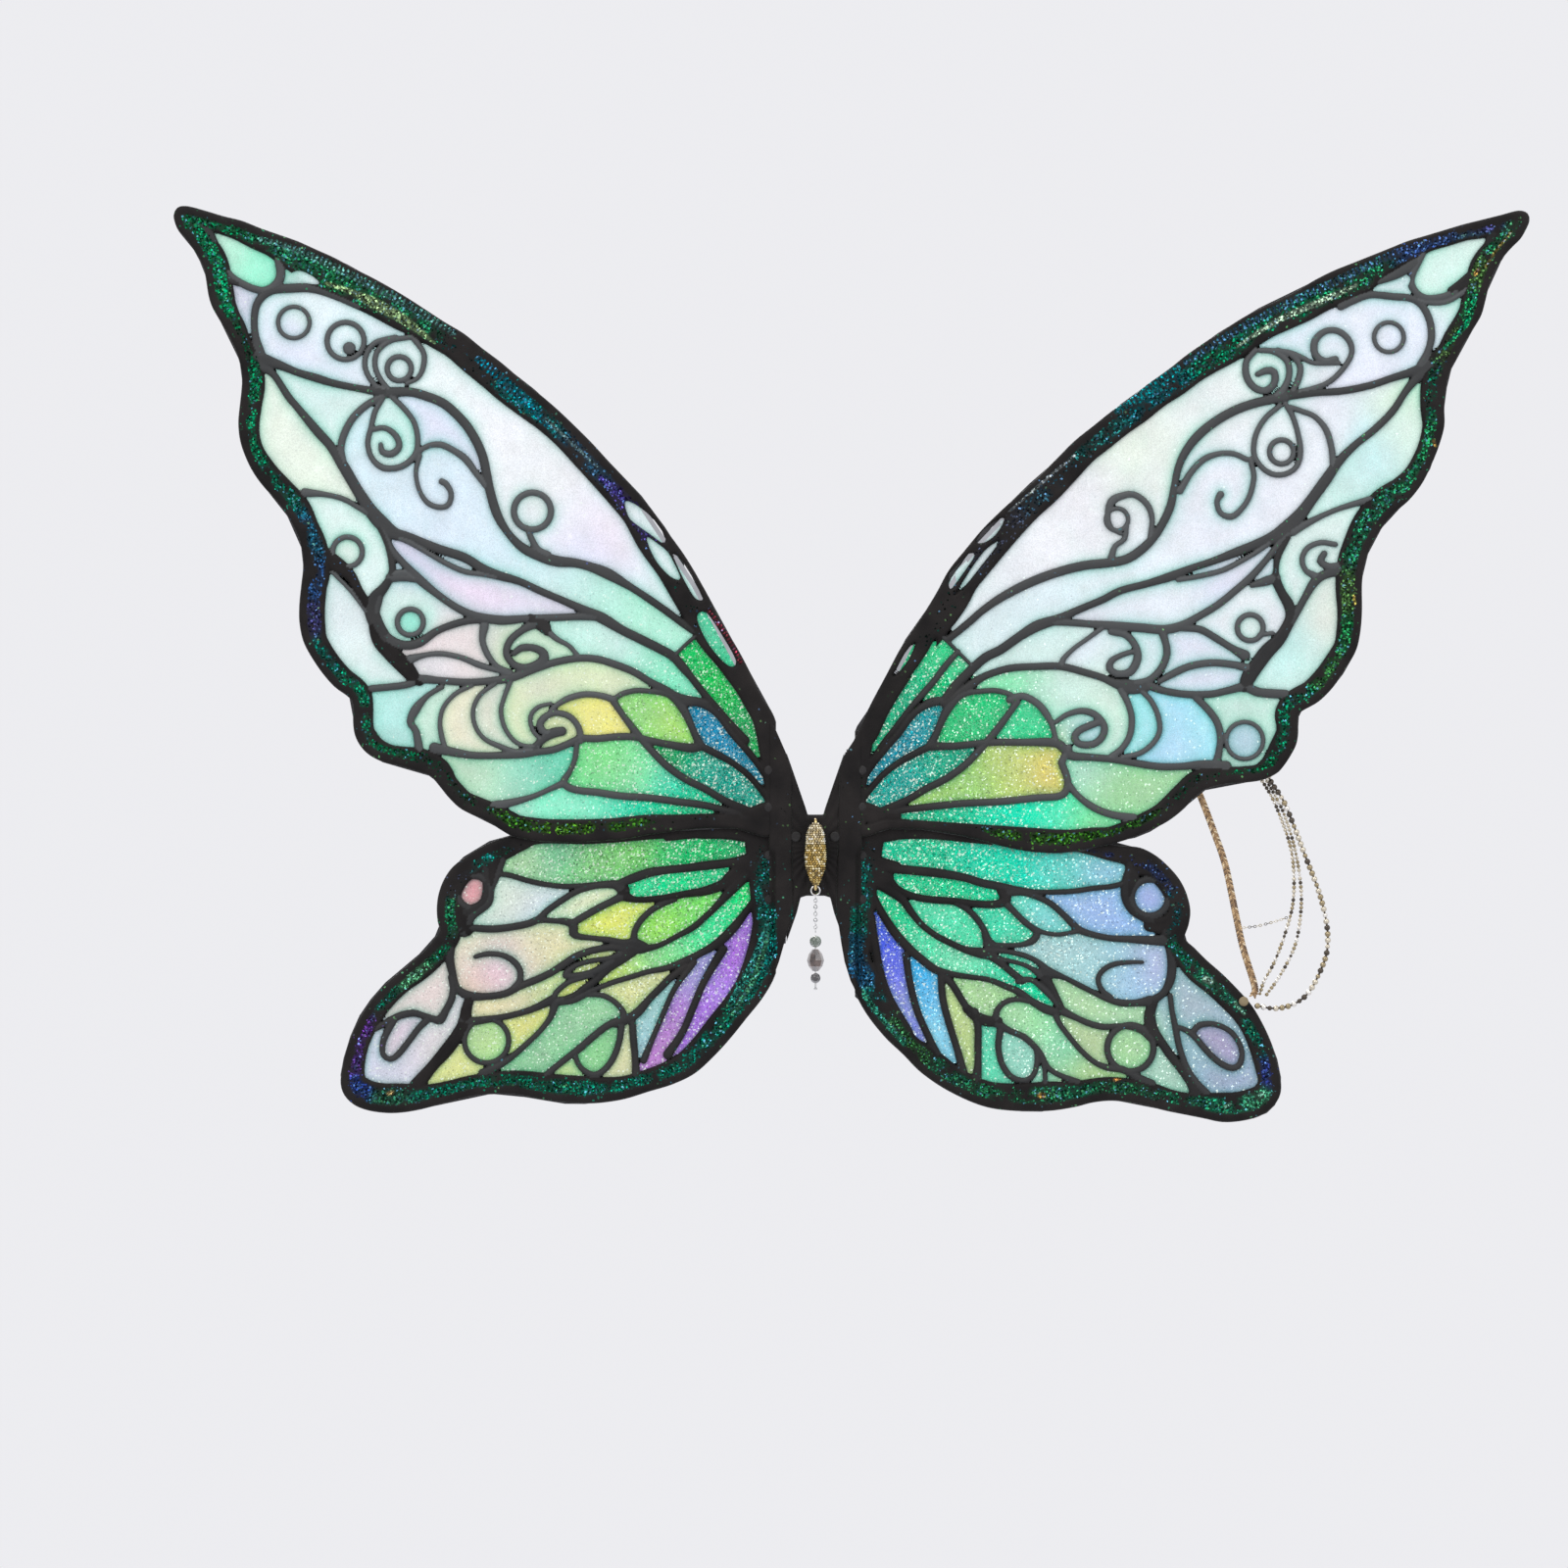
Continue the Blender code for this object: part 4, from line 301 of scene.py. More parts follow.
RIGHT_HIND_VEINS = """20,-10,12 36,-18,6 50,-20,5 65,-21.5,5 80,-24,4.5 90,-27,4.5 100,-29,4.5
110,-31,4 120,-32,3 130,-32,3 140,-31.5,3 150,-30,3 160,-29,3 168,-27,3;
20,-12,12 36,-23,8 44,-30,4 52,-34,4 62,-36,4 75,-37,4 88,-38.5,4 98,-38.5,4.5 103,-36,6 101,-31,6;
104,-39,4 108,-43,3.5 113,-48,3.5 117,-51,3.5 120,-54,4 118,-58,4 112,-60.5,3 104,-61,3 96,-61,4
93,-60,5;
104,-32,5 112,-32,4 120,-34.5,3.5 127,-38,3.5 133,-43,3.5 139,-49,4 143,-52.5,4 150,-55,3.5 160,-57,3.5
170,-57.5,4 180,-58,5 192,-58,7;
119,-52,3 124,-54,2.5 131,-55,2.5 138,-54,2.5 143,-52.5,3.5;
76,-38,3 82,-41,3.5 87,-46,3.5 91,-52,3.5 93,-58,5 96,-61,5;
30,-24,8 46,-35,5 52,-43,4 58,-50,3.5 66,-56,3.5 74,-60,3.5 82,-63.5,4 90,-65,6 95,-66,6 101,-71,4
107,-76,4 112,-80,4;
24,-22,6 28,-26,5 32,-36,4.5 37,-45,4.5 43,-54,5 50,-62,5 57,-68,4.5 65,-74,4.5 74,-76.5,3.5 84,-78,3
94,-79.5,3 103,-83,3.5 110,-86,4 117,-91,4 124,-95,5 130,-97,5;
110,-80,4 117,-79.5,3 123,-84,3.5 129,-90,3.5 133,-96,4;
93,-63,4 103,-64,3 112,-66,3 119,-69,3 124,-73,4 127,-76,5;
95,-67,3 104,-69,2.5 112,-71,2.5 118,-74,3 122,-77,5;
124,-75,7 134,-78,3 142,-82,3 150,-86,3 158,-90,3 166,-92,4 174,-92,4 181,-91,6;
191,-60,4 193,-70,5 192,-80,5 188,-87,4 182,-91,5;
177,-70,2 170,-70,2.5 162,-71,3 156,-74,3 153,-79,3 155,-85,3 160,-89,3;
124,-78,6 129,-86,4 133,-96,5;
133,-96,5 140,-99.5,3.5 148,-103,3.5 156,-105,3.5 164,-104.5,3 171,-105,3.5 177,-107,4 182,-111,5;
183,-92,5 181,-98,6 182,-106,7 187,-113,5 192,-120,5 198,-128,4.5 203,-135,5 206,-142,6;
130,-98,4 132,-103,3 138,-111,3 144,-118,3 151,-124,3 158,-127,3.5 166,-128,4 172,-131,4 182,-136,5;
98,-103,5 105,-107,3.5 112,-110,3.5 118,-115,3.5 122,-120,3.5 126,-127,3 132,-131,3 142,-135,4;
98,-103,5 98,-97,3.5 102,-92,3 109,-90,3 117,-91,3.5;
100,-107,4 99,-116,3.5 101,-125,3.5 106,-132,3.5 113,-134,3 118,-131,3 120,-124,3 119,-116,3 113,-110,3;
122,-121,2.5 124,-128,2.5 124.5,-136,3;
86,-97,5 88,-105,4 88,-115,4 88,-125,4 87,-135,6;
82,-95,5 88,-100,6 94,-102,6 99,-102,5;
68,-76,4 74,-82,4 79,-90,4 84,-98,4;
68,-78,4 69,-90,4 72,-102,4 77,-118,4 80,-130,5;
49,-66,4 51,-80,4 55,-96,4 62,-112,4 68,-124,5;
30,-46,5 32,-60,5 35,-76,5 40,-90,5 50,-108,6;
24,-40,6 24,-55,6 28,-72,6;
192,-88,3 193,-96,3 195,-106,3.5 197,-116,3.5 201,-127,3.5 206,-135,4 212,-141,4;
195,-105,3 200,-106.5,3 205,-110,3.5 211,-117,3.5 217,-123,3.5 224,-127,3.5 229,-126,3.5 231,-120,3
229,-113,3 224,-107,3 216,-103.5,3 208,-104,3.5 205,-107,3.5;
170,-12,5 170,-20,5 168,-27,5 168,-35,5 172,-42,5 180,-47,5 192,-54,8;
170,-16,6 172,-23,7 170,-33,5;
174,-17,11 190,-22,10 197,-36,9 193,-49,12 181,-50,7;
20,-2,14 34,-1,9 48,0,7 64,0,7 80,-2,6 95,-4,5;
22,-20,14 30,-21,7 40,-24,5;
34,-15.5,6 44,-18,5;
32,-2.5,7 44,-1.5,5"""
RIGHT_HIND_RINGS = "170.5,-116.5,12.5,3.5 181,-35,10,4"
RIGHT_HIND_DOTS = ""

# Colours of the film's panes: x, z, red, green, blue and how much loose glitter.
# The pink and lilac shifts inside some large panes, as at -110,160 and -120,150 on the left fore wing, are
# painted pearly highlight.
LEFT_FORE_SEEDS = """-303,310,.55,.93,.78,.1 -314,318,.8,.95,.85,.1 -282,262,.9,.9,.97,.05
-270,283,.9,.96,.95,.05 -309,285,.85,.83,.9,.1 -285,215,.92,.95,.88,.05 -265,225,.86,.95,.92,.05
-232,215,.84,.95,.92,.05 -215,220,.9,.9,.97,.05 -190,170,.86,.92,.96,.05 -165,210,.95,.95,.96,.05
-140,190,.93,.94,.93,.05 -110,160,.97,.9,.93,.05 -120,150,.88,.88,.97,.05 -200,250,.93,.95,.95,.05
-85,125,.86,.93,.92,.05 -75,108,.7,.93,.82,.2 -190,132,.95,.86,.93,.05 -140,122,.9,.87,.93,.05
-215,145,.88,.86,.95,.05 -110,105,.8,.93,.88,.1 -75,85,.55,.88,.72,.5 -255,150,.9,.95,.9,.05
-258,165,.88,.95,.92,.05 -255,110,.88,.93,.92,.05 -220,120,.88,.93,.9,.05 -219,114,.6,.9,.8,.05
-195,105,.94,.87,.86,.05 -190,90,.93,.86,.84,.05 -205,90,.9,.88,.9,.05 -158,95,.86,.9,.74,.1
-140,100,.84,.92,.8,.1 -130,82,.86,.9,.72,.2 -150,80,.9,.9,.78,.1 -192,62,.93,.9,.78,.1
-176,60,.87,.86,.78,.1 -162,66,.85,.87,.7,.15 -210,56,.8,.9,.82,.1 -225,62,.78,.92,.9,.1
-236,55,.6,.86,.8,.1 -140,58,.88,.88,.66,.2 -120,63,.93,.9,.52,.3 -100,57,.78,.83,.48,.4
-90,63,.5,.8,.48,.5 -80,60,.72,.85,.4,.5 -180,30,.75,.87,.72,.15 -160,34,.6,.86,.76,.25
-145,36,.3,.76,.6,.3 -195,34,.8,.88,.75,.1 -110,40,.5,.82,.45,.5 -95,33,.62,.85,.62,.5
-80,27,.2,.75,.65,.6 -65,22,.05,.6,.42,.8 -160,10,.7,.95,.82,.3 -150,14,.55,.93,.76,.3
-130,15,.62,.92,.78,.4 -100,12,.2,.8,.62,.6 -75,10,.06,.68,.45,.8 -60,12,.03,.6,.4,.9
-55,55,.0,.43,.56,.9 -35,32,.0,.42,.5,.9 -60,35,.0,.5,.46,.9 -78,42,.05,.55,.2,.9 -45,28,.02,.45,.4,.9
-55,80,.1,.62,.25,.8 -66,92,.2,.7,.35,.7 -40,58,.05,.5,.25,.8 -56,112,.25,.72,.5,.5 -48,99,.2,.68,.42,.6
-53,106,.5,.85,.7,.4"""
RIGHT_FORE_SEEDS = """340,305,.85,.96,.9,.05 300,270,.93,.94,.98,.05 320,262,.9,.92,.97,.05
310,295,.93,.95,.97,.05 170,212,.9,.94,.86,.05 230,255,.92,.95,.93,.05 200,240,.9,.94,.9,.05
320,215,.88,.95,.86,.05 305,205,.76,.92,.93,.05 325,235,.86,.95,.84,.05 270,220,.92,.93,.95,.05
250,215,.93,.95,.95,.05 215,130,.88,.87,.95,.05 215,190,.92,.92,.95,.05 215,230,.93,.94,.93,.05
140,180,.93,.92,.93,.05 120,155,.94,.94,.95,.05 100,130,.92,.94,.95,.05 285,165,.88,.95,.92,.05
270,148,.9,.95,.92,.05 258,105,.72,.93,.9,.1 275,115,.93,.9,.84,.05 270,85,.76,.92,.8,.1
284,130,.9,.94,.84,.05 160,75,.85,.92,.85,.1 155,50,.78,.86,.9,.1 140,80,.82,.92,.88,.1
140,100,.88,.92,.94,.05 180,60,.66,.9,.92,.1 205,52,.62,.92,.95,.1 195,48,.74,.84,.97,.1
228,45,.7,.8,.85,.1 240,62,.78,.9,.84,.1 235,111,.9,.94,.92,.05 225,118,.92,.93,.94,.05
210,83,.88,.88,.94,.05 205,98,.9,.9,.95,.05 175,97,.86,.92,.93,.05 240,148,.93,.9,.95,.05
200,125,.9,.93,.93,.05 165,22,.56,.8,.5,.3 145,32,.7,.86,.78,.3 180,22,.66,.82,.6,.25
105,32,.74,.8,.45,.5 125,33,.85,.72,.45,.5 90,25,.5,.75,.4,.6 110,60,.3,.75,.5,.5 92,60,.25,.66,.4,.6
105,5,.08,.86,.66,.5 125,5,.35,.88,.7,.4 150,3,.55,.82,.55,.3 80,8,.05,.7,.5,.7 55,8,.02,.58,.42,.9
60,60,.03,.5,.5,.9 45,48,.03,.42,.5,.9 60,80,.12,.66,.38,.8 68,96,.3,.78,.5,.6 50,68,.06,.55,.4,.8
50,30,.03,.5,.48,.9 68,36,.04,.55,.4,.9 120,98,.84,.93,.9,.1 95,108,.86,.93,.93,.1 105,84,.5,.85,.62,.4
88,76,.3,.75,.5,.6"""
LEFT_HIND_SEEDS = """-160,-15,.75,.85,.66,.3 -140,-12,.34,.64,.5,.5 -120,-16,.5,.7,.42,.8
-95,-11,.5,.68,.36,.8 -80,-13,.08,.62,.36,.8 -55,-10,.02,.58,.32,.9 -40,-6,.02,.5,.28,.9
-165,-36,.86,.9,.8,.15 -152,-44,.78,.8,.86,.15 -140,-44,.82,.86,.78,.2 -185,-32,.9,.6,.62,.1
-185,-60,.84,.87,.7,.2 -150,-60,.84,.86,.64,.25 -140,-66,.86,.82,.6,.3 -175,-76,.92,.74,.88,.1
-185,-83,.93,.78,.6,.15 -170,-73,.9,.74,.86,.1 -165,-93,.92,.84,.7,.15 -145,-84,.8,.84,.58,.3
-130,-105,.54,.74,.55,.25 -115,-96,.6,.76,.58,.3 -178,-112,.7,.82,.56,.2 -155,-105,.86,.84,.52,.25
-195,-127,.85,.85,.56,.2 -178,-128,.8,.86,.6,.2 -110,-50,.84,.85,.46,.4 -120,-39,.92,.88,.74,.3
-135,-40,.86,.88,.7,.3 -115,-72,.85,.83,.5,.35 -120,-66,.8,.82,.55,.3 -80,-48,.6,.78,.38,.6
-70,-43,.4,.74,.4,.7 -40,-36,.06,.7,.3,.9 -60,-55,.4,.8,.6,.7 -50,-46,.25,.76,.5,.8 -80,-66,.5,.8,.5,.5
-110,-79,.8,.82,.44,.4 -128,-83,.88,.84,.5,.3 -95,-85,.82,.82,.58,.35 -75,-25,.16,.7,.44,.8
-60,-24,.1,.64,.4,.8 -95,-30,.36,.78,.55,.6 -103,-122,.84,.82,.64,.2 -90,-100,.66,.78,.76,.3
-92,-113,.62,.76,.8,.3 -76,-96,.66,.42,.74,.5 -68,-82,.62,.6,.8,.4 -84,-112,.72,.5,.74,.4
-60,-95,.6,.36,.78,.6 -46,-70,.6,.38,.72,.6 -52,-88,.68,.6,.85,.5 -34,-44,.04,.5,.4,.9
-215,-88,.9,.82,.8,.1 -225,-112,.9,.82,.86,.1 -218,-105,.86,.76,.82,.1 -237,-120,.86,.84,.92,.1
-222,-132,.84,.82,.88,.1 -205,-118,.88,.82,.8,.1 -118,-122,.54,.76,.52,.2 -140,-134,.8,.84,.58,.2
-160,-134,.9,.86,.78,.15 -30,-30,.03,.56,.45,.9"""
RIGHT_HIND_SEEDS = """60,-10,.06,.66,.46,.8 100,-18,.16,.76,.58,.6 135,-22,.4,.78,.7,.4
155,-22,.62,.72,.84,.2 35,-9,.03,.55,.35,.9 70,-29,.14,.68,.46,.7 95,-33,.25,.72,.54,.6
70,-48,.4,.8,.62,.4 80,-55,.36,.76,.58,.5 105,-50,.34,.76,.6,.4 110,-40,.4,.78,.64,.4
122,-44,.56,.8,.82,.3 155,-42,.60,.69,.86,.3 172,-38,.74,.74,.88,.2 180,-35,.64,.68,.88,.1
130,-65,.66,.78,.76,.5 150,-70,.62,.78,.76,.25 185,-72,.72,.68,.84,.2 170,-80,.6,.76,.87,.2
150,-93,.68,.8,.6,.2 165,-98,.66,.8,.64,.2 170,-116,.64,.80,.58,.2 150,-112,.7,.78,.58,.2
185,-128,.66,.78,.7,.15 115,-100,.6,.82,.6,.25 135,-116,.42,.8,.64,.3 150,-130,.74,.78,.5,.2
110,-122,.58,.82,.72,.2 94,-120,.42,.8,.64,.3 42,-72,.38,.38,.8,.6 48,-92,.62,.6,.84,.4
36,-60,.3,.34,.78,.6 60,-88,.42,.68,.86,.5 64,-108,.6,.82,.88,.3 56,-74,.3,.6,.82,.6
78,-105,.72,.78,.5,.3 74,-92,.68,.78,.54,.3 82,-120,.7,.76,.5,.3 92,-88,.64,.78,.56,.4
108,-98,.66,.8,.6,.3 45,-44,.12,.66,.42,.8 60,-60,.4,.78,.6,.6 80,-70,.58,.82,.68,.5
100,-75,.28,.8,.6,.5 120,-87,.12,.74,.54,.5 26,-62,.06,.55,.5,.8 215,-90,.66,.68,.71,.2
204,-118,.56,.71,.74,.2 236,-122,.58,.38,.56,.2 218,-114,.65,.6,.72,.1 222,-134,.62,.63,.73,.15
206,-95,.66,.7,.74,.1 28,-34,.03,.52,.34,.9"""
# Rim glitter: x, z, red, green, blue and strength.
LEFT_FORE_INLAY = """-30,70,0,.02,.01,.05 -60,130,0,.03,.02,.15 -95,184,.12,.08,.4,.55
-115,204,.05,.2,.35,.6 -150,238,0,.3,.28,.9 -185,264,0,.06,.06,.25 -215,283,.02,.34,.14,.9
-250,303,.02,.4,.14,1 -290,322,.02,.36,.16,1 -325,333,0,.4,.14,1 -342,334,0,.35,.12,1
-334,312,0,.42,.16,1 -325,285,0,.4,.15,1 -312,262,0,.14,.05,.5 -307,240,0,.4,.16,1 -306,212,0,.42,.18,1
-292,185,0,.36,.2,1 -275,160,.02,.2,.34,1 -272,135,.04,.14,.4,1 -273,115,.1,.1,.34,1 -268,96,0,.3,.22,1
-250,78,0,.4,.2,1 -246,60,0,.4,.18,1 -232,42,0,.36,.14,.9 -208,33,0,.1,.04,.4 -188,14,0,.12,.04,.5
-165,4,.06,.3,.02,1 -135,1,.1,.34,.02,1 -105,2,.06,.26,.02,.8 -75,4,0,.06,.01,.2 -40,6,0,.02,.01,.05"""
RIGHT_FORE_INLAY = """30,66,0,.02,.01,.05 60,125,0,.03,.02,.15 95,168,.1,.12,.2,.35
120,190,.04,.14,.2,.5 150,217,.02,.22,.2,.8 180,240,0,.26,.3,.9 215,268,0,.34,.16,.9 255,290,0,.4,.16,1
290,306,.02,.34,.14,1 330,320,.05,.12,.4,1 365,331,.1,.1,.36,1 380,330,.06,.28,.12,1
370,318,.02,.36,.14,1 360,302,.12,.3,.08,1 355,285,.02,.38,.12,1 346,265,.1,.2,.06,.7 334,240,0,.2,.1,.5
334,212,.02,.4,.14,1 325,192,.02,.4,.16,1 308,175,.02,.36,.16,1 292,155,.02,.32,.14,1
289,130,.12,.3,.08,1 288,108,.02,.34,.1,1 276,85,.06,.32,.08,1 262,72,0,.3,.14,.8 255,50,0,.34,.16,1
240,34,0,.28,.1,.8 205,22,0,.08,.03,.4 170,2,.04,.2,.02,.7 145,-3,.06,.3,.02,1 110,-4,.06,.26,.02,.9
85,0,.02,.16,.02,.5 50,4,0,.03,.01,.1"""
LEFT_HIND_INLAY = """-60,3,0,0,0,0 -150,0,0,.02,.01,.1 -170,-8,0,.12,.06,.3 -178,-15,0,.4,.3,.7
-195,-24,.1,.12,.2,.25 -198,-45,.02,.4,.16,1 -206,-62,0,.3,.12,.8 -217,-76,.2,.75,.35,1
-232,-90,0,.26,.14,.8 -243,-108,.22,.06,.5,1 -248,-125,.2,.08,.5,1 -247,-136,.04,.1,.5,1
-232,-143,.04,.26,.14,1 -205,-140,0,.34,.2,1 -175,-135,0,.32,.16,1 -145,-138,0,.3,.16,1
-115,-139,0,.34,.2,1 -85,-131,0,.32,.2,1 -60,-118,0,.3,.2,1 -45,-100,0,.32,.18,1 -35,-85,0,.34,.24,1
-28,-65,0,.34,.3,1 -22,-50,0,.3,.22,.8 -20,30,0,0,0,0"""
RIGHT_HIND_INLAY = """60,3,0,0,0,0 120,-2,0,.02,.01,.05 170,-10,.04,.06,.2,.6 190,-22,.06,.1,.3,.7
195,-42,0,.14,.14,.6 205,-66,0,.3,.14,.8 213,-77,.03,.4,.2,1 229,-92,.03,.34,.2,.9 241,-110,0,.26,.16,.9
245,-132,.06,.1,.5,1 241,-143,.1,.6,.3,1 222,-148,.02,.4,.2,1 195,-144,.02,.3,.14,1
163,-136,.03,.3,.12,1 140,-140,.02,.3,.14,1 122,-143,.03,.3,.12,1 95,-140,.02,.3,.12,1
70,-131,.02,.26,.12,1 52,-118,.06,.28,.08,1 42,-107,.06,.28,.1,1 30,-92,0,.3,.26,1 24,-76,.02,.2,.42,1
19,-60,.02,.24,.4,1 22,-48,0,.3,.2,.8 20,30,0,0,0,0"""
# Extra glitter lines on the rims: red, green, blue and ribs per mm, then x, z and width.
LEFT_FORE_LINES = """.25,.62,.6,.38 -300,321,3 -280,315,4 -250,301,4.5 -220,285,4.5 -195,270,3;
.5,.75,.35,0 -264,297,2 -250,292,3 -238,286,6 -222,277,5 -206,265,1.5;
0,.42,.62,.4 -182,256,4 -168,244,6 -156,233,6 -145,221,4;
.3,.5,.5,0 -146,224,1.4 -132,211,1.6 -118,198,1.2;
.16,.12,.7,0 -116,192,3 -109,186,3.5 -103,179,2;
.8,.08,.16,.5 -57.5,120,2.2 -47.5,106,2.6 -40,92,2.2;
0,.5,.2,0 -336,331,3 -326,315,4 -320,300,3 -319,285,3"""
RIGHT_FORE_LINES = """1,.5,.12,0 356.5,302,1.8 358,304,1.8;
1,.5,.12,0 334,212,1.5 335,209,1.5;
1,.75,.15,0 291,128,1.4 291.5,124,1.4;
.1,.2,.5,.38 200,254,3 225,270,4.5 255,286,4.5 285,300,4.5 315,314,4 345,323,3;
.6,.85,.6,0 228,263,1.5 250,277,3 275,288,3.5 292,296,2;
0,.55,.6,.4 163,228,4 180,240,6 197,252,4;
.55,.6,.6,0 105,174,1.2 122,189,1.6 140,204,1.2;
.5,.35,.08,0 376,325,1 368,315,1.6 362,306,1;
0,.5,.2,0 340,262,2 352,276,3 356,290,3"""
LEFT_HIND_LINES = """1,.72,.3,0 -231,-141,2.2 -229,-140.5,2.2;
.3,.9,.5,0 -219,-77,2.2 -214,-74.5,2.6;
.1,.55,.3,0 -22,-42,4 -27,-58,4 -33,-78,3 -45,-98,2;
.05,.5,.4,0 -26,-50,3 -34,-70,3.5 -46,-92,3"""
RIGHT_HIND_LINES = """1,.6,.12,0 121.5,-142,2.8 123,-142,2.8;
1,.45,.12,0 162,-133.5,2.2 165,-132.5,2;
.6,1,.75,0 211,-79,3.4 214,-80.5,3;
.4,.9,.6,0 227,-92,1.6 232,-98,1.4;
.4,1,.7,0 222,-148,2.2 224,-147,2.2;
.4,1,.7,0 240,-142,2.2 242,-141,2.2;
1,.75,.25,0 40,-104,1.8 43,-108,1.4;
.1,.3,.75,0 14,-50,3 17,-62,5 22,-77,4;
.05,.5,.3,0 24,-84,3 34,-98,3 48,-114,3"""


def table_of(text):
    """Rows of numbers from words of numbers with commas between them."""
    return np.array([[float(v) for v in item.split(",")] for item in text.split()])


def runs_of(text):
    return [table_of(run) for run in text.split(";") if run.strip()]


def smooth_run(pts, step, closed):
    """A Catmull-Rom run through the points, with every column carried along."""
    pts = np.asarray(pts, float)
    n = len(pts)
    out = []
    for i in range(n if closed else n - 1):
        if closed:
            p0, p1, p2, p3 = pts[i - 1], pts[i], pts[(i + 1) % n], pts[(i + 2) % n]
        else:
            p1, p2 = pts[i], pts[i + 1]
            p0 = pts[i - 1] if i else 2 * p1 - p2
            p3 = pts[i + 2] if i + 2 < n else 2 * p2 - p1
        count = max(1, int(math.ceil(np.hypot(*(p2 - p1)[:2]) / step)))
        t = (np.arange(count) / count)[:, None]
        out.append(0.5 * (2 * p1 + (p2 - p0) * t + (2 * p0 - 5 * p1 + 4 * p2 - p3) * t * t
                          + (3 * p1 - p0 - 3 * p2 + p3) * t**3))
    if not closed:
        out.append(pts[-1:])
    return np.vstack(out)


class Grid:
    """A square grid over an outline, and the fields drawn on it."""

    def __init__(self, low, high, step):
        self.step = step
        self.xs = np.arange(low[0] - GRID_MARGIN, high[0] + GRID_MARGIN, step)
        self.zs = np.arange(low[1] - GRID_MARGIN, high[1] + GRID_MARGIN, step)
        self.x, self.z = np.meshgrid(self.xs, self.zs, indexing="ij")

    def stroke(self, run, reach, closed=False, arc=False):
        """Half width minus distance to a run of x, z, width; with arc, also how far along it."""
        field = np.full(self.x.shape, -reach)
        along = np.zeros(self.x.shape)
        gone = 0.0
        ends = np.roll(run, -1, axis=0) if closed else run[1:]
        for a, b in zip(run, ends):
            lo = np.minimum(a[:2], b[:2]) - reach
            hi = np.maximum(a[:2], b[:2]) + reach
            i0, i1 = np.searchsorted(self.xs, (lo[0], hi[0]))
            j0, j1 = np.searchsorted(self.zs, (lo[1], hi[1]))
            x, z = self.x[i0:i1, j0:j1], self.z[i0:i1, j0:j1]
            d = b[:2] - a[:2]
            long = max(float(d @ d), 1e-9)
            t = np.clip(((x - a[0]) * d[0] + (z - a[1]) * d[1]) / long, 0, 1)
            here = (a[2] + t * (b[2] - a[2])) / 2 - np.hypot(x - a[0] - t * d[0],
                                                            z - a[1] - t * d[1])
            part = field[i0:i1, j0:j1]
            if arc:
                s = gone + t * math.sqrt(long)
                along[i0:i1, j0:j1] = np.where(here > part, s, along[i0:i1, j0:j1])
                gone += math.sqrt(long)
            np.maximum(part, here, out=part)
        return (field, along) if arc else field

    def inside(self, loop, reach=40.0):
        """Distance to a loop, above zero inside it."""
        run = np.column_stack([loop[:, :2], np.zeros(len(loop))])
        far = -self.stroke(run, reach, closed=True)
        odd = np.zeros(self.x.shape, bool)
        for (ax, az), (bx, bz) in zip(loop[:, :2], np.roll(loop[:, :2], -1, axis=0)):
            j0, j1 = np.searchsorted(self.zs, sorted((az, bz)))
            if j1 > j0:
                at = ax + (self.zs[j0:j1] - az) * (bx - ax) / (bz - az)
                odd[:, j0:j1] ^= self.xs[:, None] < at[None, :]
        return np.where(odd, far, -far)


def blended(x, z, seeds, power, soft):
    """Colour columns of the seeds, weighted by nearness."""
    total, weight = 0.0, 0.0
    for seed in seeds:
        w = 1.0 / ((x - seed[0]) ** 2 + (z - seed[1]) ** 2 + soft) ** (power / 2)
        total = total + w[..., None] * seed[2:]
        weight = weight + w
    return total / weight[..., None]


def new_mesh(name, points, quads, mat, colors, fine):
    """A smooth mesh, with its colours and, for a frame, where its veins are fine."""
    mesh = bpy.data.meshes.new(name)
    points = np.asarray(points, np.float64).copy()
    points[:, 1] -= BACK
    points *= MM
    quads = np.asarray(quads, np.int32)
    mesh.vertices.add(len(points))
    mesh.vertices.foreach_set("co", points.astype(np.float32).ravel())
    mesh.loops.add(quads.size)
    mesh.loops.foreach_set("vertex_index", quads.ravel())
    mesh.polygons.add(len(quads))
    mesh.polygons.foreach_set("loop_start", np.arange(len(quads), dtype=np.int32) * 4)
    mesh.update(calc_edges=True)
    mesh.polygons.foreach_set("use_smooth", np.ones(len(quads), bool))
    layer = mesh.color_attributes.new("tint", "FLOAT_COLOR", "POINT")
    layer.data.foreach_set("color", np.asarray(colors, np.float32).ravel())
    if fine is not None:
        layer = mesh.attributes.new("fine", "FLOAT", "POINT")
        layer.data.foreach_set("value", np.asarray(fine, np.float32))
    mesh.validate()
    obj = bpy.data.objects.new(name, mesh)
    bpy.context.scene.collection.objects.link(obj)
    mesh.materials.append(mat)
    return obj


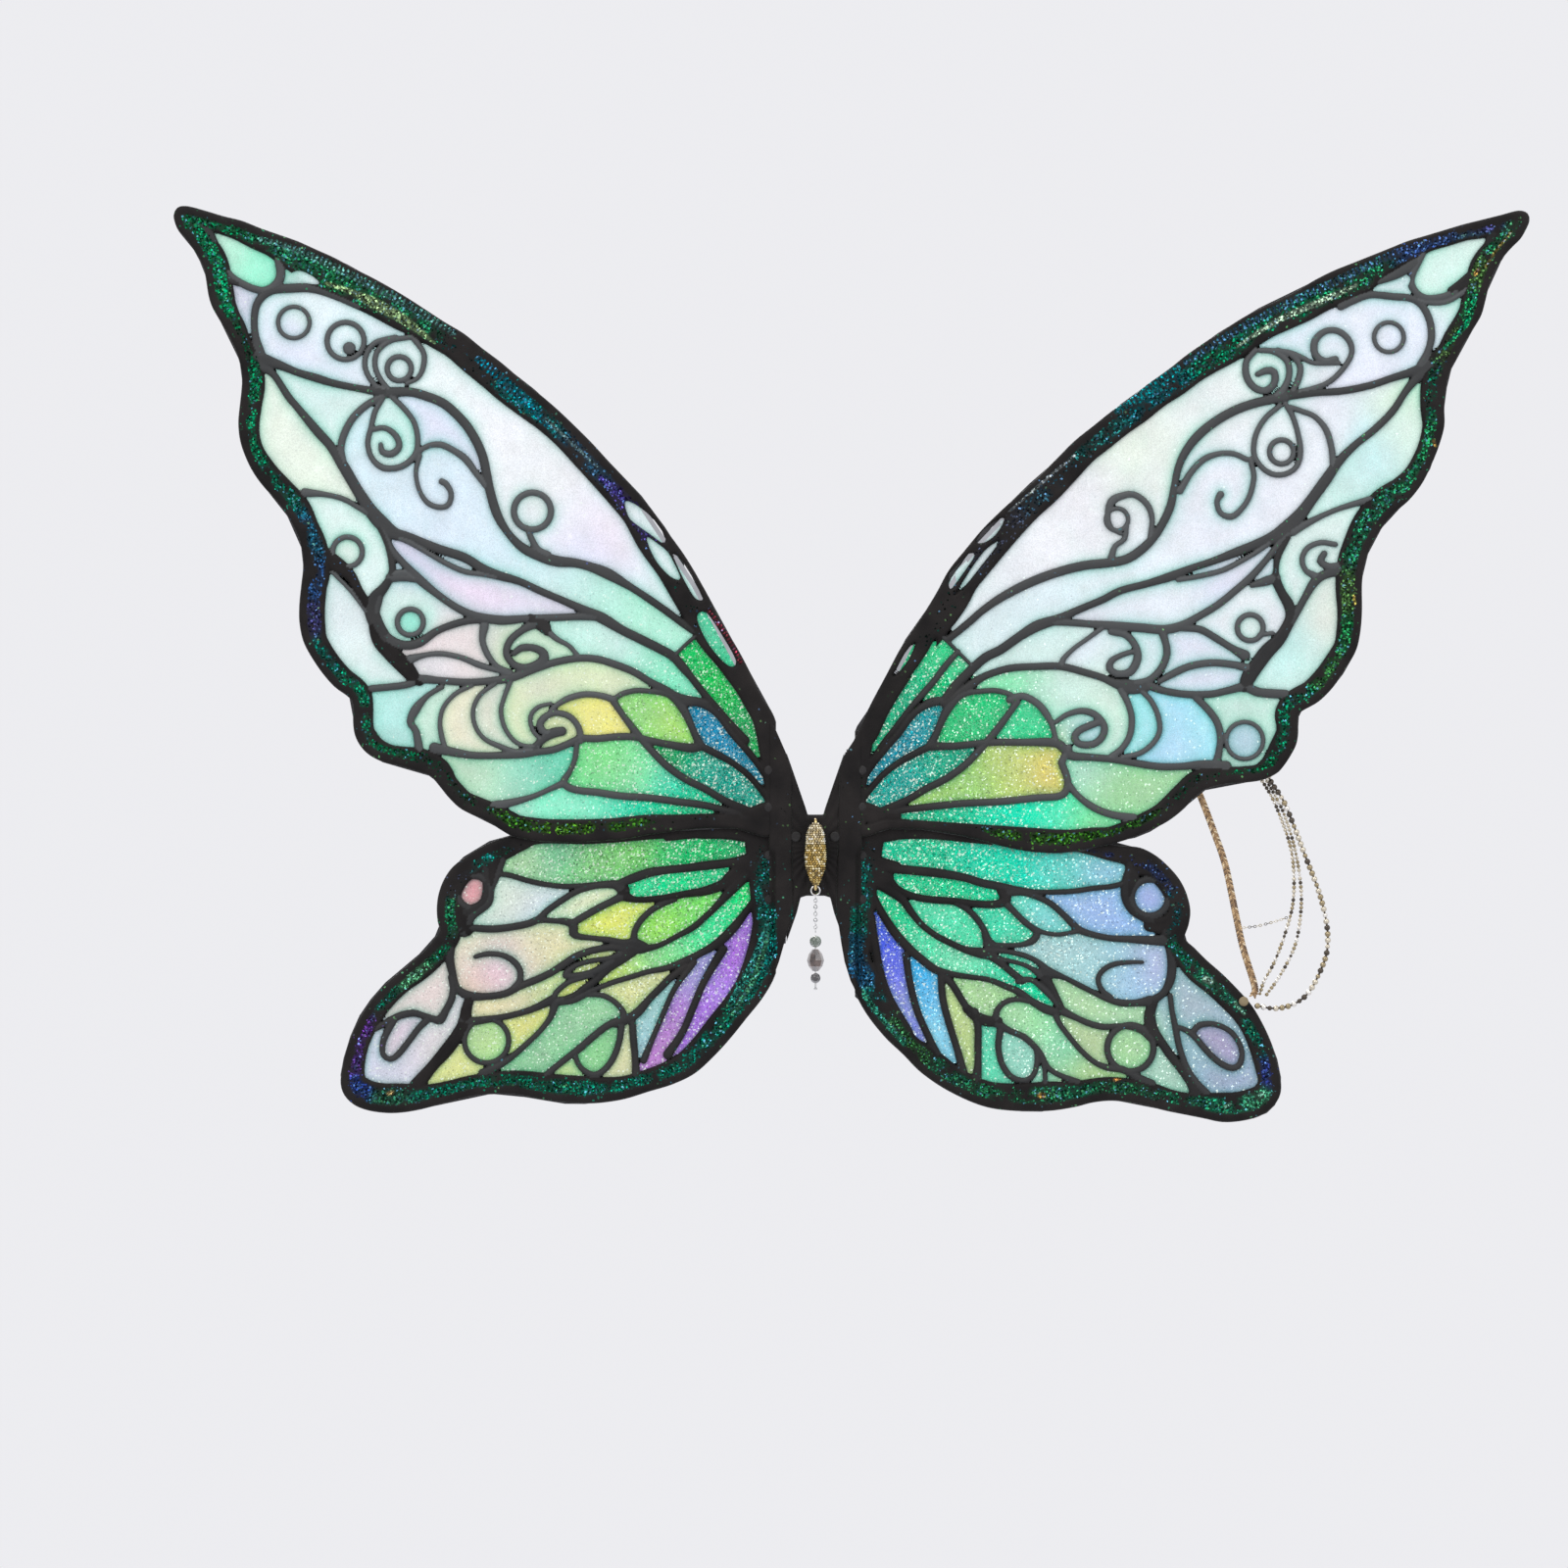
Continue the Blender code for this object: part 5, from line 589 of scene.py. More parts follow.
def slab(name, grid, field, front, back, mat, color, fine=None):
    """A closed sheet over where the field is positive. front and back are y values on the grid."""
    cell = field > 0
    near = cell[:-1, :-1] | cell[1:, :-1] | cell[1:, 1:] | cell[:-1, 1:]
    deep = np.minimum.reduce([field[:-1, :-1], field[1:, :-1], field[1:, 1:], field[:-1, 1:]])
    near &= deep > -1.6 * grid.step
    used = np.zeros(field.shape, bool)
    for di in (0, 1):
        for dj in (0, 1):
            used[di : di + near.shape[0], dj : dj + near.shape[1]] |= near
    # The points just outside are pulled in on to the edge.
    gx, gz = np.gradient(field, grid.step)
    size = np.maximum(gx * gx + gz * gz, 0.25)
    out = used & (field <= 0)
    x = grid.x - np.where(out, field * gx / size, 0)
    z = grid.z - np.where(out, field * gz / size, 0)
    inner = used & ~out
    index = np.full(field.shape, -1)
    index[used] = np.arange(used.sum())
    behind = index.copy()
    behind[inner] = used.sum() + np.arange(inner.sum())
    y_front = np.where(out, back, front)
    points = np.concatenate([
        np.column_stack([x[used], y_front[used], z[used]]),
        np.column_stack([x[inner], np.broadcast_to(back, x.shape)[inner], z[inner]]),
    ])
    i, j = np.nonzero(near)
    ring = ((i, j), (i + 1, j), (i + 1, j + 1), (i, j + 1))
    front_faces = np.column_stack([index[a] for a in ring])
    back_faces = np.column_stack([behind[a] for a in ring[::-1]])
    rim = (index[i, j] == behind[i, j]) & (index[i + 1, j] == behind[i + 1, j])
    rim &= (index[i + 1, j + 1] == behind[i + 1, j + 1]) & (index[i, j + 1] == behind[i, j + 1])
    faces = np.concatenate([front_faces[~rim], back_faces[~rim]])
    colors = np.concatenate([color[used], color[inner]])
    if fine is not None:
        fine = np.concatenate([fine[used], fine[inner]])
    return new_mesh(name, points, faces, mat, colors, fine)


def hash_noise(x, z, scale, seed):
    """Smooth value noise between 0 and 1."""
    u, v = x / scale + 100.3 * seed, z / scale + 57.7 * seed
    i, j = np.floor(u), np.floor(v)
    fu, fv = u - i, v - j
    fu, fv = fu * fu * (3 - 2 * fu), fv * fv * (3 - 2 * fv)

    def at(a, b):
        s = np.sin(a * 127.1 + b * 311.7 + seed * 74.7) * 43758.5453
        return s - np.floor(s)

    return ((at(i, j) * (1 - fu) + at(i + 1, j) * fu) * (1 - fv)
            + (at(i, j + 1) * (1 - fu) + at(i + 1, j + 1) * fu) * fv)


def label_cells(mask):
    """A number for each connected patch of the mask."""
    labels = np.zeros(mask.shape, int)
    count = 0
    for start in np.argwhere(mask):
        start = tuple(start)
        if labels[start]:
            continue
        count += 1
        labels[start] = count
        stack = [start]
        while stack:
            i, j = stack.pop()
            for a, b in ((i + 1, j), (i - 1, j), (i, j + 1), (i, j - 1)):
                if mask[a, b] and not labels[a, b]:
                    labels[a, b] = count
                    stack.append((a, b))
    return labels


def rounded(share):
    """The height of a quarter circle, from 0 at its edge to 1."""
    return np.sqrt(np.maximum(1 - (1 - share) ** 2, 0))


def shape_of(outline, step):
    rim = smooth_run(table_of(outline), RUN_STEP, True)
    return rim, Grid(rim[:, :2].min(axis=0), rim[:, :2].max(axis=0), step)


def vein_field(grid, rim, veins, rings, dots, windows, side):
    """The frame, where its veins are fine, the distance in from the outline, and the rim."""
    inside = grid.inside(rim)
    band = rim.copy()
    band[:, 2] *= 2
    rim_lines = grid.stroke(band, RIM_REACH, closed=True)
    lines = rim_lines.copy()
    fine = np.zeros(lines.shape)
    drawn = [(grid.stroke(smooth_run(vein, RUN_STEP, False), 9.0), vein[:, 2].mean())
             for vein in runs_of(veins)]
    for x, z, radius, width in table_of(rings):
        drawn.append((width / 2 - np.abs(np.hypot(grid.x - x, grid.z - z) - radius), width))
    for x, z, radius in table_of(dots):
        drawn.append((radius - np.hypot(grid.x - x, grid.z - z), 3.2))
    # A vein counts as fine under 6.5 mm wide, and fully so at 3.5 mm.
    for here, width in drawn:
        over = here > lines
        fine[over] = np.clip((6.5 - width) / 3.0, 0, 1)
        lines[over] = here[over]
    lines = np.maximum(lines, ROOT_SOLID_X - side * grid.x)
    for window in runs_of(windows):
        hole = grid.inside(smooth_run(window, 2.0, True))
        np.minimum(lines, -hole, out=lines)
    whole = np.minimum(inside, side * grid.x - ROOT_X)
    return np.minimum(whole, lines), fine, inside, rim_lines


def vein_frame(name, data, side, base):
    """The flocked board with its openings cut out and its glitter laid on."""
    outline, veins, rings, dots, windows, _, inlays, extras = data
    rim, grid = shape_of(outline, STEP)
    field, fine, inside, rim_lines = vein_field(grid, rim, veins, rings, dots, windows, side)
    # Fine veins are greyer, out from the root and most of all on the fore wings.
    out = np.clip((side * grid.x - 35.0) / 80.0, 0, 1)
    fine = fine * (out if "fore" in name else 0.35 * out)
    t = np.clip(field / VEIN_ROUND, 0, 1)
    height = VEIN_HEIGHT * rounded(t)
    width = np.maximum(rim_lines + inside, 1.0)
    share = np.clip(inside / width, 0, 1.3)
    tints = blended(grid.x, grid.z, table_of(inlays), 5.0, 4.0)
    band = np.clip((inside - 3.6) / 2.0, 0, 1) * np.clip((0.92 - share) / 0.2, 0, 1)
    patch = np.clip(1.5 * hash_noise(grid.x, grid.z, 5.0, 1)
                    + 0.5 * hash_noise(grid.x, grid.z, 2.0, 12) - 0.22, 0, 1)
    strength = band * patch * tints[..., 3]
    color = tints[..., :3].copy()
    for line in extras.split(";"):
        head, rest = line.split(None, 1)
        *rgb, ribs = [float(v) for v in head.split(",")]
        run = smooth_run(table_of(rest), RUN_STEP, False)
        here, along = grid.stroke(run, 8.0, arc=True)
        on = np.clip(here / 0.7 + 0.5, 0, 1)
        if ribs:
            on = on * (0.55 + 0.45 * np.sin(2 * math.pi * ribs * along))
        color += (np.array(rgb) - color) * on[..., None]
        strength = np.maximum(strength, on)
    # The glitter lies a little below the rim's edges.
    height -= 0.35 * np.clip(strength * 1.5, 0, 1) * (height > 1.9)
    height += 0.12 * (hash_noise(grid.x, grid.z, 2.2, 3) - 0.5) * t
    tint = np.dstack([color, strength])
    front = base - np.maximum(height, 0.02)
    return slab(name, grid, field, front, base, MATS["flock"], tint, fine)


def pane_colors(grid, mask, table, windows):
    """Each pane's own mix of colour and loose glitter, and a little of it under its veins."""
    labels = label_cells(mask)
    own = labels[np.clip(np.searchsorted(grid.xs, table[:, 0]), 0, labels.shape[0] - 1),
                 np.clip(np.searchsorted(grid.zs, table[:, 1]), 0, labels.shape[1] - 1)]
    color = blended(grid.x, grid.z, table, 4.0, 30.0)
    for label in set(own.tolist()) - {0}:
        spot = labels == label
        color[spot] = blended(grid.x[spot], grid.z[spot], table[own == label], 2.0, 160.0)
    # The first three windows, in the rim of the leading edge, are pale.
    for window in runs_of(windows)[:3]:
        spot = grid.inside(smooth_run(window, 2.0, True)) > -1.5
        color[spot] = (0.86, 0.87, 0.89, 0.0)
    known = mask.copy()
    for _ in range(3):
        total = np.zeros(color.shape)
        weight = np.zeros(known.shape)
        for axis in (0, 1):
            for shift in (1, -1):
                k = np.roll(known, shift, axis)
                total += np.roll(color, shift, axis) * k[..., None]
                weight += k
        fill = ~known & (weight > 0)
        color[fill] = total[fill] / weight[fill][:, None]
        known |= fill
    return color


def film(name, data, side, base):
    """The pearly film behind the frame, its area in square metres and its grid."""
    outline, veins, rings, dots, windows, seeds, _, _ = data
    rim, grid = shape_of(outline, FILM_STEP)
    field, _, inside, _ = vein_field(grid, rim, veins, rings, dots, windows, side)
    sheet = np.minimum(inside - FILM_INSET, side * grid.x - FILM_ROOT_X)
    table = table_of(seeds)
    table[:, 2:5] = table[:, 2:5] ** PIGMENT_DEPTH
    # The hind wings carry more loose glitter.
    if "hind" in name:
        table[:, 5] = np.minimum(0.9, table[:, 5] * 0.9 + 0.22)
    color = pane_colors(grid, (sheet > 0) & (field <= 0), table, windows)
    # Painted shade in the film beside the veins, tinted mint, more on some sides than on others.
    gap = np.clip(-field, 0, 14)
    mottled = hash_noise(grid.x, grid.z, 14.0, 5) * 0.6 + hash_noise(grid.x, grid.z, 6.0, 6) * 0.4
    shade_patches = np.clip(1.5 * hash_noise(grid.x, grid.z, 26.0, 11) - 0.2, 0, 1)
    vein_shade = np.exp(-gap / 3.0)[..., None]
    mean = color[..., :3].mean(axis=2, keepdims=True)
    strong = 0.88 + 0.45 * color[..., 3:4] + 0.25 * mottled[..., None]
    rgb = mean + (color[..., :3] - mean) * strong
    rgb = rgb * (1 - vein_shade * shade_patches[..., None] * MINT_SHADE)
    # A thin shadow runs along the veins.
    rgb = rgb * (1 - 0.45 * np.exp(-gap / 0.9)[..., None]) * (0.89 + 0.15 * mottled[..., None])
    glitter = color[..., 3] + 0.10 * (hash_noise(grid.x, grid.z, 9.0, 8) - 0.4)
    tint = np.dstack([np.clip(rgb, 0, 1), np.clip(glitter, 0, 1)])
    wave = 0.10 * (hash_noise(grid.x, grid.z, 11.0, 2) - 0.5)
    wave = wave + 0.05 * hash_noise(grid.x, grid.z, 4.0, 4)
    front = base + 0.02 + wave
    made = slab(name, grid, sheet, front, base + FILM_T, MATS["film"], tint)
    return made, float((sheet > 0).sum()) * FILM_STEP**2 * 1e-6, grid


# ---- materials ----


class Shader:
    """A Principled material, with short helpers for the nodes behind it."""

    def __init__(self, name, **values):
        self.mat = bpy.data.materials.new(name)
        self.mat.use_nodes = True
        self.tree = self.mat.node_tree
        self.bsdf = self.tree.nodes["Principled BSDF"]
        for key, value in values.items():
            self.bsdf.inputs[key.replace("_", " ")].default_value = value

    def node(self, kind, links=None, **settings):
        made = self.tree.nodes.new(kind)
        for key, value in settings.items():
            if hasattr(made, key):
                setattr(made, key, value)
            else:
                made.inputs[key.replace("_", " ")].default_value = value
        for key, value in (links or {}).items():
            self.tree.links.new(value, made.inputs[key])
        return made

    def place(self):
        return self.node("ShaderNodeTexCoord").outputs["Object"]

    def noise(self, scale, detail=4.0, rough=0.55, where=None):
        made = self.node("ShaderNodeTexNoise", {"Vector": where or self.place()}, Scale=scale,
                         Detail=detail, Roughness=rough)
        return made.outputs["Fac"]

    def cells(self, scale):
        return self.node("ShaderNodeTexVoronoi", {"Vector": self.place()}, Scale=scale)

    def fill(self, socket, value):
        """A number, a colour or another node's output, put into a socket."""
        if isinstance(value, (int, float)):
            socket.default_value = value
        elif isinstance(value, tuple):
            socket.default_value = (*value, 1.0)
        else:
            self.tree.links.new(value, socket)

    def math(self, operation, a, b, clamp=False):
        made = self.node("ShaderNodeMath", operation=operation, use_clamp=clamp)
        for socket, value in zip(made.inputs, (a, b)):
            self.fill(socket, value)
        return made.outputs[0]

    def mix(self, fac, a, b, blend="MIX"):
        made = self.node("ShaderNodeMix", data_type="RGBA", blend_type=blend)
        for socket, value in ((made.inputs[0], fac), (made.inputs[6], a), (made.inputs[7], b)):
            self.fill(socket, value)
        return made.outputs[2]

    def scaled(self, vector, amount):
        made = self.node("ShaderNodeVectorMath", {0: vector}, operation="SCALE")
        self.fill(made.inputs["Scale"], amount)
        return made.outputs[0]

    def range(self, value, low, high, to_low=0.0, to_high=1.0):
        made = self.node("ShaderNodeMapRange", {"Value": value})
        for k, v in zip((1, 2, 3, 4), (low, high, to_low, to_high)):
            made.inputs[k].default_value = v
        return made.outputs[0]

    def bump(self, height, strength, distance, normal=None):
        links = {"Height": height}
        if normal is not None:
            links["Normal"] = normal
        return self.node("ShaderNodeBump", links, Strength=strength, Distance=distance
                         ).outputs[0]

    def flakes(self, cells, amount):
        """Each flake faces its own way."""
        tilt = self.node("ShaderNodeVectorMath", {0: cells.outputs["Color"]}, operation="SUBTRACT")
        tilt.inputs[1].default_value = (0.5, 0.5, 0.5)
        lean = self.scaled(tilt.outputs[0], amount)
        geo = self.node("ShaderNodeNewGeometry").outputs["Normal"]
        total = self.node("ShaderNodeVectorMath", {0: geo, 1: lean}, operation="ADD")
        return self.node("ShaderNodeVectorMath", {0: total.outputs[0]}, operation="NORMALIZE"
                         ).outputs[0]

    def plug(self, key, value):
        self.tree.links.new(value, self.bsdf.inputs[key])

    def split(self, color):
        return self.node("ShaderNodeSeparateColor", {0: color}).outputs


def flock_material():
    """Black flocked board, with emerald glitter where the tint's alpha says."""
    s = Shader("wing_flock", Roughness=0.6)
    s.bsdf.inputs["Specular IOR Level"].default_value = 0.16
    s.bsdf.inputs["Sheen Roughness"].default_value = 0.35
    s.bsdf.inputs["Sheen Tint"].default_value = (0.55, 0.6, 0.58, 1)
    tint = s.node("ShaderNodeAttribute", attribute_name="tint")
    grain = s.noise(900.0, 3.0)
    worn = s.noise(45.0, 5.0)
    black = s.mix(s.range(worn, 0.35, 0.7), (0.006, 0.005, 0.005), (0.018, 0.015, 0.014))
    flake = s.cells(1150.0)
    chance = s.split(flake.outputs["Color"])
    bright = s.range(s.math("POWER", chance[0], 3.0), 0.0, 1.0, 0.03, 1.2)
    hue = s.mix(s.range(chance[1], 0.55, 1.0, 0.0, 0.55), tint.outputs["Color"], (0.35, 0.75, 0.25))
    hue = s.mix(s.range(chance[2], 0.86, 0.88, 0.0, 0.5), hue, (0.2, 0.45, 0.85))
    lit = s.scaled(hue, bright)
    # Alpha thins the flakes out to single specks at its edges.
    on = s.math("GREATER_THAN", tint.outputs["Alpha"], s.range(chance[1], 0, 1, 0.06, 1.25))
    speck = s.math("MULTIPLY", s.math("GREATER_THAN", chance[0], 0.985), 0.6)
    on = s.math("MAXIMUM", on, s.math("MULTIPLY", speck, s.range(worn, 0.45, 0.6)), True)
    fine = s.node("ShaderNodeAttribute", attribute_name="fine").outputs["Fac"]
    black = s.mix(s.math("MULTIPLY", fine, 0.8), black, (0.105, 0.112, 0.114))
    under = s.scaled(tint.outputs["Color"], 0.13)
    ground = s.mix(s.range(tint.outputs["Alpha"], 0.15, 0.8), black, under)
    s.plug("Base Color", s.mix(on, ground, lit))
    s.plug("Metallic", s.math("MULTIPLY", on, 0.75))
    s.plug("Roughness", s.range(s.math("MAXIMUM", on, s.math("MULTIPLY", fine, 0.5)), 0, 1,
                                0.6, 0.24))
    s.plug("Sheen Weight", s.range(on, 0, 1, 0.10, 0.0))
    normal = s.flakes(flake, s.math("MULTIPLY", on, 0.9))
    s.plug("Normal", s.bump(grain, 0.35, 0.0004, normal))
    return s.mat


def film_material():
    """Pearly film: the tint is the pigment with painted shade beside the veins and painted pearly
    highlight in some panes; its alpha is the loose glitter.
    """
    s = Shader("pearl_film_look", Roughness=0.3, Coat_Weight=0.08, Coat_Roughness=0.15,
               Sheen_Weight=0.05)
    s.bsdf.inputs["Thin Film Thickness"].default_value = 420.0
    s.bsdf.inputs["Thin Film IOR"].default_value = 1.45
    s.bsdf.inputs["Specular IOR Level"].default_value = 0.22
    tint = s.node("ShaderNodeAttribute", attribute_name="tint")
    drift = s.noise(16.0, 3.0)
    veil = s.noise(55.0, 4.0)
    base = s.mix(s.range(drift, 0.35, 0.65, 0.0, 0.22), tint.outputs["Color"],
                 (0.92, 0.84, 0.97), "MULTIPLY")
    base = s.mix(s.range(veil, 0.52, 0.75, 0.0, 0.25), base, (0.82, 1.0, 0.93), "MULTIPLY")
    streaks = s.node("ShaderNodeMapping", {"Vector": s.place()}, Scale=(1.0, 1.0, 0.28))
    lines = s.noise(240.0, 3.0, 0.6, streaks.outputs[0])
    base = s.mix(s.range(lines, 0.55, 0.75, 0.0, 0.30), base, (1.0, 1.0, 1.0), "SOFT_LIGHT")
    flake = s.cells(1250.0)
    chance = s.split(flake.outputs["Color"])
    fine = s.cells(2500.0)
    fine_chance = s.split(fine.outputs["Color"])
    share = s.range(tint.outputs["Alpha"], 0.08, 1, 0.997, 0.45)
    on = s.math("GREATER_THAN", chance[0], share)
    dust = s.math("GREATER_THAN", fine_chance[0], s.range(tint.outputs["Alpha"], 0, 1, 0.9, 0.7))
    dim = s.range(tint.outputs["Alpha"], 0, 1, 0.9, 0.3)
    keen = s.range(tint.outputs["Alpha"], 0, 1, 0.25, 1.7)
    gleam = s.scaled(base, s.math("ADD", dim, s.math("MULTIPLY", keen, chance[1])))
    sparkle = s.mix(s.range(chance[2], 0.74, 0.80, 0.0, 0.6), gleam, (0.9, 1.0, 0.85))
    soft = s.noise(130.0, 5.0, 0.6)
    base = s.mix(s.range(soft, 0.3, 0.7, 0.32, 0.0), base, (0.80, 0.78, 0.72), "MULTIPLY")
    speckled = s.scaled(base, s.math("ADD", 0.88, s.math("MULTIPLY", 0.28, fine_chance[1])))
    color = s.mix(on, speckled, sparkle)
    color = s.mix(s.math("MULTIPLY", dust, 0.16), color, (0.9, 1.0, 0.95), "SCREEN")
    s.plug("Base Color", color)
    s.plug("Metallic", s.math("MULTIPLY", on, s.range(tint.outputs["Alpha"], 0, 1, 0.1, 0.6)))
    s.plug("Roughness", s.range(s.math("MAXIMUM", on, dust), 0, 1, 0.34, 0.2))
    normal = s.flakes(flake, s.range(on, 0, 1, 0.035, 0.5))
    s.plug("Normal", s.bump(s.noise(420.0, 4.0), 0.25, 0.0006, normal))
    return s.mat


def plain_material(name, color, rough=0.5, metal=0.0, wear=0.25, grain=300.0, bump=0.15,
                   second=None):
    """A finish with mottling, small dents and worn patches."""
    s = Shader(name, Metallic=metal)
    patches = s.noise(70.0, 5.0)
    second = second or tuple(min(1.0, c * (1 + wear) + 0.02 * wear) for c in color)
    s.plug("Base Color", s.mix(s.range(patches, 0.35, 0.68), color, second))
    s.plug("Roughness", s.range(s.noise(180.0, 3.0), 0.3, 0.7, rough * 0.8, min(1, rough * 1.2)))
    s.plug("Normal", s.bump(s.noise(grain, 4.0), bump, 0.0004))
    return s.mat


def elastic_material():
    """Ribbed elastic: fine ribs one way and the weft's rows the other."""
    s = Shader("elastic_look", Roughness=0.82, Sheen_Weight=0.5, Sheen_Roughness=0.5)
    where = s.place()
    rib_scale, row_scale = 900.0 / 6.3, 260.0 / 1.6
    ribs = s.node("ShaderNodeTexWave", {"Vector": where}, bands_direction="X", Scale=rib_scale)
    rows = s.node("ShaderNodeTexWave", {"Vector": where}, wave_type="RINGS", rings_direction="X",
                  Scale=row_scale)
    weave = s.math("MULTIPLY", ribs.outputs["Fac"], rows.outputs["Fac"])
    s.plug("Base Color", s.mix(weave, (0.018, 0.018, 0.02), (0.07, 0.07, 0.075)))
    fuzz = s.noise(1500.0, 2.0)
    first = s.bump(weave, 0.7, 0.0004)
    s.plug("Normal", s.bump(fuzz, 0.25, 0.0003, first))
    return s.mat


def bead_material(name, shades, rough=0.2, metal=0.9):
    """Small beads that each take one of four shades."""
    s = Shader(name, Coat_Weight=0.6, Coat_Roughness=0.08)
    tone = s.node("ShaderNodeAttribute", attribute_name="tone").outputs["Fac"]
    color = s.mix(s.math("GREATER_THAN", tone, 0.3), shades[0], shades[1])
    color = s.mix(s.math("GREATER_THAN", tone, 0.62), color, shades[2])
    color = s.mix(s.math("GREATER_THAN", tone, 0.86), color, shades[3])
    worn = s.noise(900.0, 3.0)
    s.plug("Base Color", s.mix(s.range(worn, 0.5, 0.75, 0.0, 0.35), color, (0.12, 0.09, 0.04)))
    s.plug("Metallic", s.range(worn, 0.55, 0.8, metal, metal * 0.6))
    s.plug("Roughness", s.range(worn, 0.3, 0.7, rough * 0.7, rough * 1.5))
    s.plug("Normal", s.bump(worn, 0.15, 0.0002))
    return s.mat


def felt_material():
    s = Shader("pad_felt_look", Roughness=0.95, Sheen_Weight=0.8, Sheen_Roughness=0.6)
    fibres = s.noise(700.0, 6.0, 0.7)
    clumps = s.noise(90.0, 3.0)
    shade = s.math("MULTIPLY", fibres, clumps)
    s.plug("Base Color", s.mix(s.range(shade, 0.12, 0.42), (0.035, 0.033, 0.036),
                               (0.12, 0.115, 0.12)))
    s.plug("Normal", s.bump(fibres, 0.8, 0.0006))
    return s.mat


def glass_material(name, color, second):
    s = Shader(name, Roughness=0.06, Transmission_Weight=0.25, IOR=1.55, Coat_Weight=0.8)
    s.plug("Base Color", s.mix(s.range(s.noise(260.0, 4.0), 0.35, 0.65), color, second))
    s.plug("Normal", s.bump(s.noise(500.0, 2.0), 0.05, 0.0003))
    return s.mat


MATS = {
    "flock": flock_material(),
    "film": film_material(),
    "backing": plain_material("backing_look", (0.02, 0.019, 0.021), 0.7, 0.0, 0.8, 700.0, 0.4),
    "steel": plain_material("steel_look", (0.42, 0.43, 0.45), 0.3, 1.0, 0.2, 400.0),
    "pin": plain_material("pin_look", (0.55, 0.55, 0.57), 0.25, 1.0, 0.2, 500.0),
    "paint": plain_material("black_paint_look", (0.010, 0.010, 0.011), 0.55, 0.1, 0.8, 600.0, 0.3),
    "plastic": plain_material("black_plastic_look", (0.022, 0.022, 0.025), 0.45, 0.0, 0.5, 900.0,
                              0.35),
    "felt": felt_material(),
    "elastic": elastic_material(),
    "champagne": bead_material("champagne_look", ((0.62, 0.50, 0.26), (0.86, 0.78, 0.58),
                                                  (0.40, 0.33, 0.20), (0.92, 0.90, 0.84))),
    "gold": bead_material("gold_look", ((0.55, 0.38, 0.10), (0.80, 0.66, 0.34),
                                        (0.28, 0.20, 0.06), (0.90, 0.84, 0.66))),
    "old_gold": bead_material("old_gold_look", ((0.42, 0.28, 0.07), (0.64, 0.50, 0.20),
                                                (0.16, 0.11, 0.04), (0.82, 0.74, 0.5))),
    "wire": plain_material("gold_wire_look", (0.62, 0.43, 0.14), 0.24, 1.0, 0.3, 400.0, 0.15,
                           (0.85, 0.68, 0.36)),
    "silver": plain_material("silver_look", (0.62, 0.62, 0.62), 0.2, 1.0, 0.2, 400.0),
    "cap": plain_material("cap_look", (0.009, 0.008, 0.008), 0.75, 0.0, 0.2, 700.0, 0.2,
                          (0.016, 0.014, 0.014)),
    "brass": plain_material("brass_look", (0.16, 0.12, 0.07), 0.35, 1.0, 0.3, 500.0, 0.2,
                            (0.36, 0.29, 0.18)),
    "braid": bead_material("braid_look", ((0.30, 0.18, 0.08), (0.55, 0.38, 0.20),
                                          (0.14, 0.08, 0.04), (0.72, 0.60, 0.40)), 0.4, 0.45),
    "chain": bead_material("chain_look", ((0.36, 0.29, 0.17), (0.66, 0.60, 0.48),
                                          (0.07, 0.055, 0.04), (0.85, 0.82, 0.76)), 0.24, 0.95),
    "oval": glass_material("oval_glass_look", (0.10, 0.13, 0.10), (0.34, 0.40, 0.34)),
    "crystal": glass_material("crystal_look", (0.035, 0.024, 0.02), (0.20, 0.14, 0.12)),
    "dark_glass": glass_material("dark_glass_look", (0.015, 0.014, 0.016), (0.07, 0.065, 0.07)),
}


def take_place(obj, body, slot, node):
    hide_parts(node)
    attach(obj, body)


WINGS = {
    "left_fore": (-1, FORE_BASE, "left_wings",
                  (LEFT_FORE_EDGE, LEFT_FORE_VEINS, LEFT_FORE_RINGS, LEFT_FORE_DOTS,
                   LEFT_FORE_WINDOWS, LEFT_FORE_SEEDS, LEFT_FORE_INLAY, LEFT_FORE_LINES)),
    "right_fore": (1, FORE_BASE, "right_wings",
                   (RIGHT_FORE_EDGE, RIGHT_FORE_VEINS, RIGHT_FORE_RINGS, RIGHT_FORE_DOTS,
                    RIGHT_FORE_WINDOWS, RIGHT_FORE_SEEDS, RIGHT_FORE_INLAY, RIGHT_FORE_LINES)),
    "left_hind": (-1, HIND_BASE, "left_wings",
                  (LEFT_HIND_EDGE, LEFT_HIND_VEINS, LEFT_HIND_RINGS, LEFT_HIND_DOTS, "",
                   LEFT_HIND_SEEDS, LEFT_HIND_INLAY, LEFT_HIND_LINES)),
    "right_hind": (1, HIND_BASE, "right_wings",
                   (RIGHT_HIND_EDGE, RIGHT_HIND_VEINS, RIGHT_HIND_RINGS, RIGHT_HIND_DOTS, "",
                    RIGHT_HIND_SEEDS, RIGHT_HIND_INLAY, RIGHT_HIND_LINES)),
}


def build_wings():
    for name, (side, base, body, data) in WINGS.items():
        made = vein_frame(name + "_veins", data, side, base)
        take_place(made, body, "black_flocked_frame", name + "_vein_frame")
        sheet, area, grid = film(name + "_pearl", data, side, base)
        take_place(sheet, body, "pearl_film", name + "_film")


